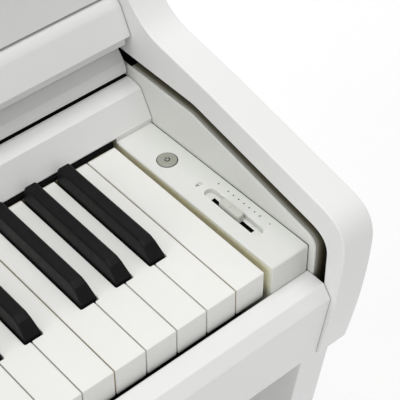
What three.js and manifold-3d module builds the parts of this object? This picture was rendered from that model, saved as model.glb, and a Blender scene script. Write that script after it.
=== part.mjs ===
// A cabinet digital piano on its stand: case, keyboard, sliding key cover, music rest and pedals.
// Millimetres, +Z up, +X to the treble end, +Y to the back. Every outline below is drawn from the
// key datum: the middle of the keyboard, at the front edge and on the top of the white keys. The
// outer group then lifts that datum to its height over the floor, the frame's origin being on the
// floor in the middle of the piano's footprint.
import * as THREE from 'three';
import { mergeVertices } from 'three/addons/utils/BufferGeometryUtils.js';
import { ConvexGeometry } from 'three/addons/geometries/ConvexGeometry.js';
import Module from 'manifold-3d';

// ---- driving dimensions ------------------------------------------------------------------------
const GAP = 0.3; // between pieces that touch

const KEY_TOP_HEIGHT = 735; // white key tops over the floor
const DEPTH = 455; // front of the arms to the back
const ARM_REACH = 32.1; // how far the arms stand in front of the white keys
const BACK_Y = DEPTH - ARM_REACH;

const WHITE_PITCH = 23.6;
const WHITE_COUNT = 52;
const KEYS_HALF = (WHITE_PITCH * WHITE_COUNT) / 2;
const WHITE_GAP = 1.0;
const WHITE_LENGTH = 149.5; // visible length
const WHITE_DEPTH = 21.5;
const NOTCH_WIDTH = 13.7; // room for a black key between two whites
const NOTCH_FRONT = 50;
const BLACK_BASE_WIDTH = 11.6;
const BLACK_TOP_WIDTH = 9.0;
const BLACK_HEIGHT = 11.6;
const BLACK_END = 147.5;
const STICK_END = 250; // rear end of the wooden key sticks
const STICK_TOP = -3;
const PIVOT_Y = 240;
const PIVOT_Z = -WHITE_DEPTH - 0.1;

const ARM_IN = KEYS_HALF + 35.5; // inner face of the arms
const ARM_OUT = KEYS_HALF + 61; // outer face, which makes the overall width
const BETWEEN = ARM_IN - GAP; // half length of every board that fits between the arms
const CASE_BOTTOM = -93;
const SLOT_DEPTH = 12; // how deep the key cover's slot goes into the arm
const SIDE_TOP = 137.7; // top of the case sides, under the top board
const BOARD_TOP = 155;
const REST_TOP = 170;

const BED_THICKNESS = 16;
const BED_TOP = CASE_BOTTOM + BED_THICKNESS;
const LEG_IN = KEYS_HALF + 24; // stand panels, set in from the arms
const LEG_OUT = KEYS_HALF + 50;
const LEG_REAR = 408;
const LEG_SLOPE = 0.134; // how fast the leg's front edge runs back on the way down
const FLOOR = -KEY_TOP_HEIGHT;
const FOOT_TOP = FLOOR + 45;

const COVER_HALF = KEYS_HALF + 34;
const COVER_Z = 35;
const COVER_THICKNESS = 8;
const COVER_FOLD_Y = 301.6; // where its two leaves meet when it is open

const REST_AXIS = { y: 218.5, z: 161.3 };
const REST_HALF = 390;
const REST_HINGE_X = 250;

const PEDAL_PITCH = 66;
const PEDAL_AXIS = { y: 300, z: -650 };
const SPEAKER = { x: 430, y: 335, hole: 57 };

// ---- finishes ----------------------------------------------------------------------------------
const FINISHES = {
  satin_white: { color: 0xe9e9e7, roughness: 0.45, metalness: 0 },
  block_plastic: { color: 0xdee0d9, roughness: 0.5, metalness: 0 },
  key_white: { color: 0xeeeeea, roughness: 0.4, metalness: 0 },
  key_black: { color: 0x28282a, roughness: 0.55, metalness: 0 },
  button_grey: { color: 0xb8b9b0, roughness: 0.45, metalness: 0.1 },
  dark_plastic: { color: 0x2b2b2a, roughness: 0.6, metalness: 0 },
  display_glass: { color: 0x121416, roughness: 0.15, metalness: 0 },
  steel: { color: 0xb4b6b8, roughness: 0.35, metalness: 1 },
  pedal_brass: { color: 0xc9a45a, roughness: 0.22, metalness: 1 },
  felt: { color: 0x6e2a2a, roughness: 1, metalness: 0 },
  wood: { color: 0xc8ab80, roughness: 0.7, metalness: 0 },
  circuit_board: { color: 0x2c5a3c, roughness: 0.5, metalness: 0 },
};

const wasm = await Module();
wasm.setup();

// ---- geometry helpers --------------------------------------------------------------------------
// An outline in the Y-Z plane, given as (y, z), carried along X from x0 to x1.
const TO_SIDE_VIEW = new THREE.Matrix4().makeBasis(
  new THREE.Vector3(0, 1, 0),
  new THREE.Vector3(0, 0, 1),
  new THREE.Vector3(1, 0, 0),
);

function alongX(shape, x0, x1, curveSegments = 6) {
  const options = { depth: x1 - x0, bevelEnabled: false, curveSegments };
  const geometry = new THREE.ExtrudeGeometry(shape, options);
  return geometry.applyMatrix4(TO_SIDE_VIEW).translate(x0, 0, 0);
}

// An outline in the X-Y plane carried up from z0 to z1.
function alongZ(shape, z0, z1, curveSegments = 8) {
  const options = { depth: z1 - z0, bevelEnabled: false, curveSegments };
  return new THREE.ExtrudeGeometry(shape, options).translate(0, 0, z0);
}

function box(x0, x1, y0, y1, z0, z1) {
  const geometry = new THREE.BoxGeometry(x1 - x0, y1 - y0, z1 - z0);
  return geometry.translate((x0 + x1) / 2, (y0 + y1) / 2, (z0 + z1) / 2);
}

function polygon(points) {
  return new THREE.Shape(points.map(([a, b]) => new THREE.Vector2(a, b)));
}

// A round bar from one end to the other along X, Y or Z.
function bar(axis, from, to, a, b, radius, sides = 16) {
  const geometry = new THREE.CylinderGeometry(radius, radius, to - from, sides);
  const middle = (from + to) / 2;
  if (axis === 'x') return geometry.rotateZ(-Math.PI / 2).translate(middle, a, b);
  if (axis === 'y') return geometry.translate(a, middle, b);
  return geometry.rotateX(Math.PI / 2).translate(a, b, middle);
}

// A profile of (radius, z) points turned about a vertical axis.
function turned(profile, x, y, sides = 32) {
  const points = profile.map(([r, z]) => new THREE.Vector2(r, z));
  return new THREE.LatheGeometry(points, sides).rotateX(Math.PI / 2).translate(x, y, 0);
}

function solid(geometry) {
  const bare = geometry.clone();
  bare.deleteAttribute('normal');
  bare.deleteAttribute('uv');
  const merged = mergeVertices(bare, 1e-4);
  return new wasm.Manifold(
    new wasm.Mesh({
      numProp: 3,
      vertProperties: merged.attributes.position.array,
      triVerts: new Uint32Array(merged.index.array),
    }),
  );
}

function fromSolid(manifold) {
  const mesh = manifold.getMesh();
  const geometry = new THREE.BufferGeometry();
  geometry.setAttribute('position', new THREE.BufferAttribute(mesh.vertProperties, 3));
  geometry.setIndex(new THREE.BufferAttribute(mesh.triVerts, 1));
  geometry.computeVertexNormals();
  return geometry;
}

function join(...geometries) {
  return fromSolid(geometries.map(solid).reduce((whole, part) => whole.add(part)));
}

function cut(geometry, ...cutters) {
  return fromSolid(cutters.map(solid).reduce((whole, cutter) => whole.subtract(cutter), solid(geometry)));
}

function piece(name, finish, geometry) {
  const mesh = new THREE.Mesh(geometry, new THREE.MeshStandardMaterial(FINISHES[finish]));
  mesh.name = name;
  return mesh;
}

const SIDES = { left: -1, right: 1 };

// The X span between two distances from the middle, on the left or the right.
function span(side, near, far) {
  return side > 0 ? [near, far] : [-far, -near];
}

// ---- case sides --------------------------------------------------------------------------------
// Outline of a case side: rounded nose, sloping arm top, then a swept rise to the top board.
function armOutline() {
  const s = new THREE.Shape();
  s.moveTo(-18.3, CASE_BOTTOM);
  s.lineTo(BACK_Y, CASE_BOTTOM);
  s.lineTo(BACK_Y, SIDE_TOP);
  s.lineTo(196, SIDE_TOP);
  s.bezierCurveTo(191, 116, 184, 100, 171, 86.7);
  s.bezierCurveTo(163, 78.6, 156, 74, 142, 71.6);
  s.lineTo(96, 63.8);
  s.lineTo(-8.7, 41.4);
  s.bezierCurveTo(-24, 38.2, -31.4, 32, -32, 14);
  s.bezierCurveTo(-31.6, -18, -26, -55, -18.3, CASE_BOTTOM);
  return s;
}

// The pocket in the inner face: its upper edge is the upper edge of the key cover's slot.
function pocketOutline() {
  const s = new THREE.Shape();
  s.moveTo(-17.5, BED_TOP);
  s.lineTo(400, BED_TOP);
  s.lineTo(400, 44);
  s.lineTo(112, 44);
  s.quadraticCurveTo(105, 43.4, 97.5, 41.5);
  s.lineTo(-3, 21.2);
  s.quadraticCurveTo(-17.5, 18, -17.5, 4);
  return s;
}

// The lining panel that fills the pocket below the slot, flush with the arm's inner face.
function liningOutline() {
  const s = new THREE.Shape();
  s.moveTo(-7.5, BED_TOP + GAP);
  s.lineTo(398, BED_TOP + GAP);
  s.lineTo(398, 34.2);
  s.lineTo(112, 34.2);
  s.lineTo(1.5, 11.1);
  s.quadraticCurveTo(-7.5, 9.2, -7.5, 1);
  return s;
}

function caseSides() {
  const group = new THREE.Group();
  for (const [name, side] of Object.entries(SIDES)) {
    const board = alongX(armOutline(), ...span(side, ARM_IN, ARM_OUT), 10);
    const pocket = alongX(pocketOutline(), ...span(side, ARM_IN - 1, ARM_IN + SLOT_DEPTH));
    const lining = alongX(liningOutline(), ...span(side, ARM_IN, ARM_IN + SLOT_DEPTH - GAP));
    group.add(piece(`arm_${name}`, 'satin_white', cut(board, pocket)));
    group.add(piece(`slot_lining_${name}`, 'block_plastic', lining));
  }
  return group;
}

// ---- end blocks and their controls -------------------------------------------------------------
const BLOCK = { near: 4, far: 35.2, front: -2.6, rear: 158, bottom: BED_TOP + GAP };
const BLOCK_TOP_FRONT = 2.4;
const BLOCK_TOP_REAR = -0.4;
const BLOCK_WALL = 3;
const BUTTON = { x: KEYS_HALF + 18.4, y: 116.4, radius: 7, travel: 1.2 };
const GROOVE = { x: KEYS_HALF + 19.2, front: 24.5, rear: 77.5, radius: 4.1, depth: 3.6 };
const LEVER_SLOT = { front: 32.6, rear: 70.5, half: 1.2 };
const FADER = { y: 53, half: 10, width: 5.8, top: 4.6 };
const DISPLAY = { x: -KEYS_HALF - 19.4, y0: 84, y1: 128, half: 11.5 };
const PANEL_BUTTONS = [60, 36]; // distances of the left block's buttons from the key fronts

// Height of the block's gently falling top at a distance y from the key fronts.
function blockTop(y) {
  return BLOCK_TOP_FRONT + ((BLOCK_TOP_REAR - BLOCK_TOP_FRONT) * y) / WHITE_LENGTH;
}

function blockOutline() {
  const s = new THREE.Shape();
  s.moveTo(BLOCK.front, BLOCK.bottom);
  s.lineTo(BLOCK.rear, BLOCK.bottom);
  s.lineTo(BLOCK.rear, blockTop(BLOCK.rear));
  s.lineTo(BLOCK.front + 1.6, BLOCK_TOP_FRONT);
  s.quadraticCurveTo(BLOCK.front, BLOCK_TOP_FRONT, BLOCK.front, BLOCK_TOP_FRONT - 1.6);
  return s;
}

// The hollow shell of an end block, open underneath.
function blockShell(side) {
  const [x0, x1] = span(side, KEYS_HALF + BLOCK.near, KEYS_HALF + BLOCK.far);
  const inside = box(
    x0 + BLOCK_WALL, x1 - BLOCK_WALL,
    BLOCK.front + BLOCK_WALL, BLOCK.rear - BLOCK_WALL,
    BLOCK.bottom - 1, BLOCK_TOP_REAR - GROOVE.depth - BLOCK_WALL,
  );
  return cut(alongX(blockOutline(), x0, x1), inside);
}

function stadium(x, y0, y1, radius) {
  const s = new THREE.Shape();
  s.moveTo(x + radius, y0 + radius);
  s.lineTo(x + radius, y1 - radius);
  s.absarc(x, y1 - radius, radius, 0, Math.PI, false);
  s.lineTo(x - radius, y0 + radius);
  s.absarc(x, y0 + radius, radius, Math.PI, 2 * Math.PI, false);
  return s;
}

function pushButton(name, x, y, radius) {
  const top = blockTop(y) + 0.7;
  const profile = [[0, top - 7], [radius, top - 7], [radius, top - 0.6], [radius - 0.6, top], [0, top]];
  return piece(name, 'button_grey', turned(profile, x, y));
}

function rightBlock() {
  const group = new THREE.Group();
  const floor = blockTop(GROOVE.rear) - GROOVE.depth;
  const groove = alongZ(stadium(GROOVE.x, GROOVE.front, GROOVE.rear, GROOVE.radius), floor, 9);
  const slot = box(
    GROOVE.x - LEVER_SLOT.half, GROOVE.x + LEVER_SLOT.half, LEVER_SLOT.front, LEVER_SLOT.rear, -20, 9,
  );
  const hole = bar('z', -20, 9, BUTTON.x, BUTTON.y, BUTTON.radius + GAP, 32);
  group.add(piece('end_block_right', 'block_plastic', cut(blockShell(1), groove, slot, hole)));
  group.add(pushButton('power_button', BUTTON.x, BUTTON.y, BUTTON.radius));
  group.add(piece('volume_slider', 'block_plastic', fader(floor)));
  return group;
}

// The sliding volume knob: a ridge in the groove, a blade through the slot and a foot under it.
function fader(floor) {
  const { x } = GROOVE;
  const ridge = polygon([
    [-FADER.width / 2, floor + 0.5],
    [FADER.width / 2, floor + 0.5],
    [FADER.width / 2, FADER.top - 2],
    [FADER.width / 2 - 1.6, FADER.top],
    [-FADER.width / 2 + 1.6, FADER.top],
    [-FADER.width / 2, FADER.top - 2],
  ]);
  const knob = new THREE.ExtrudeGeometry(ridge, { depth: 2 * FADER.half, bevelEnabled: false });
  knob.rotateX(Math.PI / 2).translate(x, FADER.y + FADER.half, 0);
  const blade = box(x - 0.9, x + 0.9, FADER.y - 3, FADER.y + 3, floor - 8, floor + 1);
  const foot = box(x - 5, x + 5, FADER.y - 8, FADER.y + 8, floor - 9, floor - 6.5);
  return join(knob, blade, foot);
}

function leftBlock() {
  const group = new THREE.Group();
  const { x, y0, y1, half } = DISPLAY;
  const floor = blockTop(y1) - 2.2;
  const window = box(x - half, x + half, y0, y1, floor, 9);
  const holes = PANEL_BUTTONS.map((y) => bar('z', -20, 9, x, y, 5 + GAP, 24));
  group.add(piece('end_block_left', 'block_plastic', cut(blockShell(-1), window, ...holes)));
  const pane = box(x - half + GAP, x + half - GAP, y0 + GAP, y1 - GAP, floor + GAP, floor + 1.9);
  group.add(piece('display_window', 'display_glass', pane));
  PANEL_BUTTONS.forEach((y, i) => group.add(pushButton(`panel_button_${i + 1}`, x, y, 5)));
  return group;
}

// ---- keyboard ----------------------------------------------------------------------------------
const NOTES = ['C', 'Cs', 'D', 'Ds', 'E', 'F', 'Fs', 'G', 'Gs', 'A', 'As', 'B'];
const WHITE_STEP = { C: 0, D: 1, E: 2, F: 3, G: 4, A: 5, B: 6 };
// Each black key stands near the line between two whites: that line, and its offset from it.
const BLACK_STEP = { Cs: [1, -2.4], Ds: [2, 2.4], Fs: [4, -3.2], Gs: [5, 0.2], As: [6, 3.3] };
const KEY_COUNT = 88;
const FIRST_NOTE = 9; // the lowest key is an A
const TOP_OCTAVE = 75; // from here up each key is its own piece
const KEY_BLOCKS = [[0, 26], [27, 50], [51, 74]];

// Name, octave, and X of octave start for the key at an index counted from the lowest.
function keyAt(index) {
  const note = NOTES[(index + FIRST_NOTE) % 12];
  const octave = Math.floor((index + FIRST_NOTE) / 12);
  const x0 = -KEYS_HALF + (octave * 7 - 5) * WHITE_PITCH;
  return { note, octave, x0, label: `${note}${octave}` };
}

function blackCentre(index) {
  const { note, x0 } = keyAt(index);
  const [line, offset] = BLACK_STEP[note];
  return x0 + line * WHITE_PITCH + offset;
}

function isBlack(index) {
  return index >= 0 && index < KEY_COUNT && keyAt(index).note in BLACK_STEP;
}

// A white key in plan: full width at the front, notched beside its black neighbours.
function whiteKey(index) {
  const { note, x0 } = keyAt(index);
  const left = x0 + WHITE_STEP[note] * WHITE_PITCH + WHITE_GAP / 2;
  const right = left + WHITE_PITCH - WHITE_GAP;
  const rearLeft = isBlack(index - 1) ? blackCentre(index - 1) + NOTCH_WIDTH / 2 : left;
  const rearRight = isBlack(index + 1) ? blackCentre(index + 1) - NOTCH_WIDTH / 2 : right;
  const points = [[left, 0], [right, 0]];
  if (rearRight < right) points.push([right, NOTCH_FRONT], [rearRight, NOTCH_FRONT]);
  points.push([rearRight, WHITE_LENGTH], [rearLeft, WHITE_LENGTH]);
  if (rearLeft > left) points.push([rearLeft, NOTCH_FRONT], [left, NOTCH_FRONT]);
  const cap = alongZ(polygon(points), -WHITE_DEPTH, 0);
  const stick = box(rearLeft + 0.8, rearRight - 0.8, WHITE_LENGTH - 5, STICK_END, -WHITE_DEPTH, STICK_TOP);
  return join(cap, stick);
}

// A black key: a tapered cap with a sloping front, on its wooden stick.
function blackKey(index) {
  const x = blackCentre(index);
  const base = BLACK_BASE_WIDTH / 2;
  const top = BLACK_TOP_WIDTH / 2;
  const corners = [
    [base, NOTCH_FRONT + 1.3, -8], [base, NOTCH_FRONT + 1.3, 1.5], [base, BLACK_END, -8],
    [base, BLACK_END, 1.5], [top, NOTCH_FRONT + 8.5, BLACK_HEIGHT - 2.2],
    [top, NOTCH_FRONT + 13, BLACK_HEIGHT], [top, BLACK_END, BLACK_HEIGHT],
  ];
  const points = corners.flatMap(([dx, y, z]) => [
    new THREE.Vector3(x - dx, y, z),
    new THREE.Vector3(x + dx, y, z),
  ]);
  const stick = box(x - 4.4, x + 4.4, NOTCH_FRONT + 8, STICK_END, -WHITE_DEPTH, STICK_TOP);
  return join(new ConvexGeometry(points), stick);
}

function keyShape(index) {
  return isBlack(index) ? blackKey(index) : whiteKey(index);
}

function keyboard() {
  const group = new THREE.Group();
  for (const [first, last] of KEY_BLOCKS) {
    const keys = [];
    for (let i = first; i <= last; i += 1) keys.push(keyShape(i));
    const low = keyAt(first);
    const high = keyAt(last);
    const x0 = low.x0 + WHITE_STEP[low.note] * WHITE_PITCH + 4;
    const x1 = high.x0 + (WHITE_STEP[high.note] + 1) * WHITE_PITCH - 4;
    const rail = box(x0, x1, PIVOT_Y + 4, STICK_END, -14, STICK_TOP - 1);
    group.add(piece(`keys_${low.label}_to_${high.label}`, 'key_white', join(...keys, rail)));
  }
  for (let i = TOP_OCTAVE; i < KEY_COUNT; i += 1) {
    const finish = isBlack(i) ? 'key_black' : 'key_white';
    group.add(piece(`key_${keyAt(i).label}`, finish, keyShape(i)));
  }
  return group;
}

// The keyboard's frame: a tray with a front rail, a narrow balance rail and a rear wall.
function keyFrame() {
  const group = new THREE.Group();
  const tray = polygon([
    [8, BED_TOP + GAP], [262, BED_TOP + GAP], [262, -8], [253, -8], [253, -66],
    [PIVOT_Y + 3, -66], [PIVOT_Y + 3, PIVOT_Z - GAP], [PIVOT_Y - 3, PIVOT_Z - GAP],
    [PIVOT_Y - 3, -66], [44, -66], [44, -34], [20, -34], [20, -66], [8, -66],
  ]);
  group.add(piece('key_frame', 'steel', alongX(tray, -KEYS_HALF, KEYS_HALF)));
  const strip = box(-KEYS_HALF + 2, KEYS_HALF - 2, 21, 43, -33.7, -31.4);
  group.add(piece('key_stop_felt', 'felt', strip));
  return group;
}

// ---- boards ------------------------------------------------------------------------------------
function keySlipOutline() {
  return polygon([
    [-3.4, -21], [-18, -21], [-24.8, -30], [-16.3, -92.2], [-15.5, CASE_BOTTOM], [-3.4, CASE_BOTTOM],
  ]);
}

function fallboardOutline() {
  return polygon([
    [152.2, 2.2], [168, 2.2], [173, 15.5], [198, 15.5], [198, 22.6], [168, 25.2],
    [163, 25.2], [159.8, 23.6], [156.4, 15],
  ]);
}

// The rail above the key cover: a leaning face that flattens into a ledge at its top.
function frontRailOutline() {
  const s = new THREE.Shape();
  s.moveTo(172.4, 63.5);
  s.lineTo(206, 63.5);
  s.lineTo(206, 85.6);
  s.lineTo(188.4, 87);
  s.quadraticCurveTo(184.6, 86, 180.8, 81);
  s.lineTo(175.1, 71.1);
  s.quadraticCurveTo(173, 67, 172.4, 63.5);
  return s;
}

function caseBoards() {
  const group = new THREE.Group();
  const board = (name, shape, finish = 'satin_white') =>
    group.add(piece(name, finish, alongX(shape, -BETWEEN, BETWEEN)));
  board('key_slip', keySlipOutline());
  board('fallboard', fallboardOutline());
  board('front_rail', frontRailOutline());
  board('upper_panel', polygon([[189, 88.6], [206, 88.6], [219, SIDE_TOP], [202, SIDE_TOP]]));
  const seal = box(-KEYS_HALF - 33, KEYS_HALF + 33, 176, 188, 55, 63.2);
  group.add(piece('cover_seal', 'satin_white', seal));
  const top = new THREE.Shape();
  top.moveTo(BACK_Y, SIDE_TOP + GAP);
  top.lineTo(BACK_Y, BOARD_TOP);
  top.lineTo(201, BOARD_TOP);
  top.quadraticCurveTo(194.5, BOARD_TOP, 194, SIDE_TOP + 9);
  top.quadraticCurveTo(193.8, SIDE_TOP + GAP, 200, SIDE_TOP + GAP);
  group.add(piece('top_board', 'satin_white', alongX(top, -ARM_OUT, ARM_OUT)));
  return group;
}

function keyBed() {
  const plate = box(-BETWEEN, BETWEEN, -3.1, 407, CASE_BOTTOM, BED_TOP);
  const holes = [-1, 1].map((side) =>
    bar('z', CASE_BOTTOM - 5, BED_TOP + 5, side * SPEAKER.x, SPEAKER.y, SPEAKER.hole, 32));
  return piece('key_bed', 'wood', cut(plate, ...holes));
}

// ---- sliding key cover -------------------------------------------------------------------------
function keyCover() {
  const group = new THREE.Group();
  const top = COVER_Z + COVER_THICKNESS;
  const middle = COVER_Z + COVER_THICKNESS / 2;
  const nose = polygon([
    [COVER_FOLD_Y - 0.8, COVER_Z], [COVER_FOLD_Y - 0.8, top], [193, top], [189.5, 45.1],
    [185.4, 45.1], [178.8, 37], [177.2, 33], [177.4, 29.6], [179.6, 28], [184.5, 28], [190, COVER_Z],
  ]);
  group.add(piece('cover_front_leaf', 'satin_white', alongX(nose, -COVER_HALF, COVER_HALF)));
  const leaf = box(-COVER_HALF, COVER_HALF, COVER_FOLD_Y + 0.8, 380, COVER_Z, top);
  const runners = [-1, 1].flatMap((side) =>
    [310, 372].map((y) => bar('x', ...span(side, COVER_HALF - 8, ARM_IN + 7.5), y, middle, 3)));
  group.add(piece('cover_rear_leaf', 'satin_white', join(leaf, ...runners)));
  return group;
}

// ---- music rest --------------------------------------------------------------------------------
const KNUCKLE = 5;
const REST_PIN = 2.2;

function musicRest() {
  const group = new THREE.Group();
  const { y, z } = REST_AXIS;
  const panel = new THREE.Shape();
  panel.moveTo(-REST_HALF, 224);
  panel.lineTo(REST_HALF, 224);
  panel.lineTo(REST_HALF, 388);
  panel.quadraticCurveTo(REST_HALF, 400, REST_HALF - 12, 400);
  panel.lineTo(-REST_HALF + 12, 400);
  panel.quadraticCurveTo(-REST_HALF, 400, -REST_HALF, 388);
  const added = [];
  const bores = [];
  for (const x of [-REST_HINGE_X, REST_HINGE_X]) {
    for (const [a, b] of [[-20, -7.5], [7.5, 20]]) {
      added.push(bar('x', x + a, x + b, y, z, KNUCKLE));
      added.push(box(x + a, x + b, y, 226, z - 2.5, z + KNUCKLE - 0.5));
    }
    added.push(bar('z', BOARD_TOP + GAP, 158, x, 385, 8));
    bores.push(bar('x', x - 25, x + 25, y, z, REST_PIN + 0.2));
    group.add(piece(`rest_hinge_${x < 0 ? 'left' : 'right'}`, 'steel', hingeBlock(x)));
  }
  const whole = join(alongZ(panel, 157.3, REST_TOP), ...added);
  group.add(piece('music_rest', 'satin_white', cut(whole, ...bores)));
  const ledge = box(-REST_HALF, REST_HALF, 201.5, 209, BOARD_TOP + GAP, 163);
  group.add(piece('music_ledge', 'satin_white', ledge));
  return group;
}

// The fixed half of a rest hinge: a foot on the top board, a middle knuckle and the pin.
function hingeBlock(x) {
  const { y, z } = REST_AXIS;
  return join(
    box(x - 7, x + 7, y - KNUCKLE, y + 4, BOARD_TOP + GAP, z),
    bar('x', x - 7, x + 7, y, z, KNUCKLE),
    bar('x', x - 22, x + 22, y, z, REST_PIN),
  );
}

// ---- inside and behind -------------------------------------------------------------------------
const INLET = { x0: -226, x1: -198, z0: -50, z1: -34 };
const JACKS = { y: 404, z: -42, x: [-306, -270], radius: 3.4 };

function speaker(name, x) {
  const profile = [
    [0, -52], [14, -54], [20, -58], [54, -75], [56, BED_TOP + GAP], [70, BED_TOP + GAP], [70, -73],
    [60, -73], [34, -42], [36, -42], [36, -16], [0, -16],
  ];
  return piece(name, 'dark_plastic', turned(profile, x, SPEAKER.y));
}

function circuitBoard() {
  const plate = box(-180, 180, 282, 388, -60, -58.2);
  const posts = [-170, 170].flatMap((x) =>
    [292, 378].map((y) => bar('z', BED_TOP + GAP, -59, x, y, 4, 12)));
  return piece('main_board', 'circuit_board', join(plate, ...posts));
}

function rearConnections() {
  const group = new THREE.Group();
  const { x0, x1, z0, z1 } = INLET;
  const boss = JACKS.x.map((x) => bar('y', 388, JACKS.y + 1, x, JACKS.z, 9, 20));
  const bores = JACKS.x.map((x) => bar('y', 391, 420, x, JACKS.z, JACKS.radius, 16));
  const plate = join(box(-336, -184, JACKS.y, 407.7, -64, -20), ...boss);
  const inletHole = box(x0 - GAP, x1 + GAP, 380, 420, z0 - GAP, z1 + GAP);
  group.add(piece('jack_panel', 'dark_plastic', cut(plate, inletHole, ...bores)));
  const mouth = box(x0 + 5, x1 - 5, 395, 420, z0 + 3.5, z1 - 3.5);
  const pins = [-4.3, 4.3].map((dx) => bar('y', 393, 403, (x0 + x1) / 2 + dx, (z0 + z1) / 2, 1.1, 10));
  const body = cut(box(x0, x1, 388, 408.5, z0, z1), mouth);
  group.add(piece('power_inlet', 'dark_plastic', join(body, ...pins)));
  const back = box(-BETWEEN, BETWEEN, 408, BACK_Y, CASE_BOTTOM, SIDE_TOP);
  const window = box(-328, -192, 400, 430, -58, -26);
  group.add(piece('back_board', 'satin_white', cut(back, window)));
  return group;
}

function headphoneBox() {
  const body = box(-560, -480, 12, 70, CASE_BOTTOM - GAP - 26, CASE_BOTTOM - GAP);
  const bores = [-535, -505].map((x) => bar('y', 0, 28, x, CASE_BOTTOM - 13, JACKS.radius, 16));
  return piece('headphone_box', 'dark_plastic', cut(body, ...bores));
}

// ---- stand -------------------------------------------------------------------------------------
// A stand panel: its top meets the case, and its front edge runs back towards the foot.
function legOutline() {
  const top = CASE_BOTTOM - GAP;
  const bottom = FOOT_TOP + GAP;
  const front = -14.9;
  return polygon([
    [front, top], [front + LEG_SLOPE * (top - bottom), bottom], [LEG_REAR, bottom], [LEG_REAR, top],
  ]);
}

// A foot: a long block with a rounded toe, standing on a pad at each end.
function footOutline() {
  const s = new THREE.Shape();
  s.moveTo(0, FLOOR);
  s.lineTo(60, FLOOR);
  s.lineTo(60, FLOOR + 5);
  s.lineTo(348, FLOOR + 5);
  s.lineTo(348, FLOOR);
  s.lineTo(408, FLOOR);
  s.lineTo(415, FLOOR + 8);
  s.lineTo(415, FOOT_TOP);
  s.lineTo(22, FOOT_TOP);
  s.quadraticCurveTo(-6, FOOT_TOP - 2, -8, FLOOR + 18);
  s.quadraticCurveTo(-8, FLOOR + 5, 0, FLOOR);
  return s;
}

function stand() {
  const group = new THREE.Group();
  for (const [name, side] of Object.entries(SIDES)) {
    const leg = alongX(legOutline(), ...span(side, LEG_IN, LEG_OUT));
    const foot = alongX(footOutline(), ...span(side, LEG_IN - 7, LEG_OUT + 7));
    group.add(piece(`leg_panel_${name}`, 'satin_white', leg));
    group.add(piece(`foot_${name}`, 'satin_white', foot));
  }
  const inner = LEG_IN - GAP;
  const kneePanel = box(-inner, inner, 395, 407, -600, CASE_BOTTOM - GAP);
  group.add(piece('knee_panel', 'satin_white', kneePanel));
  return group;
}

// ---- pedals ------------------------------------------------------------------------------------
const PEDAL_WINDOW = { half: 98, z0: -669, z1: -634 };
const PEDAL_BOX = { half: 112, front: 184.3, rear: 330, z0: -688, z1: -622, wall: 4 };
const AXLE = 3;
const ADJUSTER_Y = 176;

function pedalOutline() {
  const s = new THREE.Shape();
  s.moveTo(-11, 310);
  s.lineTo(-11, 150);
  s.bezierCurveTo(-12, 122, -22, 116, -22, 92);
  s.bezierCurveTo(-22, 62, 22, 62, 22, 92);
  s.bezierCurveTo(22, 116, 12, 122, 11, 150);
  s.lineTo(11, 310);
  return s;
}

function pedals() {
  const group = new THREE.Group();
  const { y, z } = PEDAL_AXIS;
  ['soft', 'sostenuto', 'damper'].forEach((name, i) => {
    const x = (i - 1) * PEDAL_PITCH;
    const lever = alongZ(pedalOutline(), z - 5, z + 5).translate(x, 0, 0);
    const bore = bar('x', x - 15, x + 15, y, z, AXLE + 0.2);
    group.add(piece(`pedal_${name}`, 'pedal_brass', cut(lever, bore)));
  });
  const inner = LEG_IN - GAP;
  const board = box(-inner, inner, 168, 184, FOOT_TOP + GAP, -590);
  const { half, z0, z1 } = PEDAL_WINDOW;
  const window = box(-half, half, 160, 190, z0, z1);
  const socket = bar('z', -710, -674, 0, ADJUSTER_Y, 5.4);
  group.add(piece('pedal_board', 'satin_white', cut(board, window, socket)));
  group.add(piece('pedal_box', 'dark_plastic', pedalBox()));
  const profile = [[0, FLOOR], [17, FLOOR], [17, FLOOR + 5], [12, FLOOR + 8], [12, FLOOR + 22],
    [5, FLOOR + 22], [5, -684], [0, -684]];
  group.add(piece('pedal_adjuster', 'dark_plastic', turned(profile, 0, ADJUSTER_Y)));
  return group;
}

// The housing behind the pedal board, open at the front, with the pedals' axle across it.
function pedalBox() {
  const { half, front, rear, z0, z1, wall } = PEDAL_BOX;
  const shell = cut(
    box(-half, half, front, rear, z0, z1),
    box(-half + wall, half - wall, front - 1, rear - wall, z0 + wall, z1 - wall),
  );
  return join(shell, bar('x', -half + 1, half - 1, PEDAL_AXIS.y, PEDAL_AXIS.z, AXLE));
}

// ---- the whole piano ---------------------------------------------------------------------------
const piano = new THREE.Group();
piano.position.set(0, ARM_REACH - DEPTH / 2, KEY_TOP_HEIGHT);
piano.add(
  caseSides(), caseBoards(), keyBed(), rightBlock(), leftBlock(), keyboard(), keyFrame(), keyCover(),
  musicRest(), speaker('speaker_left', -SPEAKER.x), speaker('speaker_right', SPEAKER.x),
  circuitBoard(), rearConnections(), headphoneBox(), stand(), pedals(),
);

export default piano;
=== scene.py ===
"""A white cabinet digital piano on its stand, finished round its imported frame.

Every outline is drawn in millimetres from the key datum, which is the middle of the keyboard at the
front edge and on the top of the white keys, with +X to the treble, +Y to the back and +Z up. The
datum and the overall sizes come from the frame, so a piece lies where its part says.
"""
import math

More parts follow.
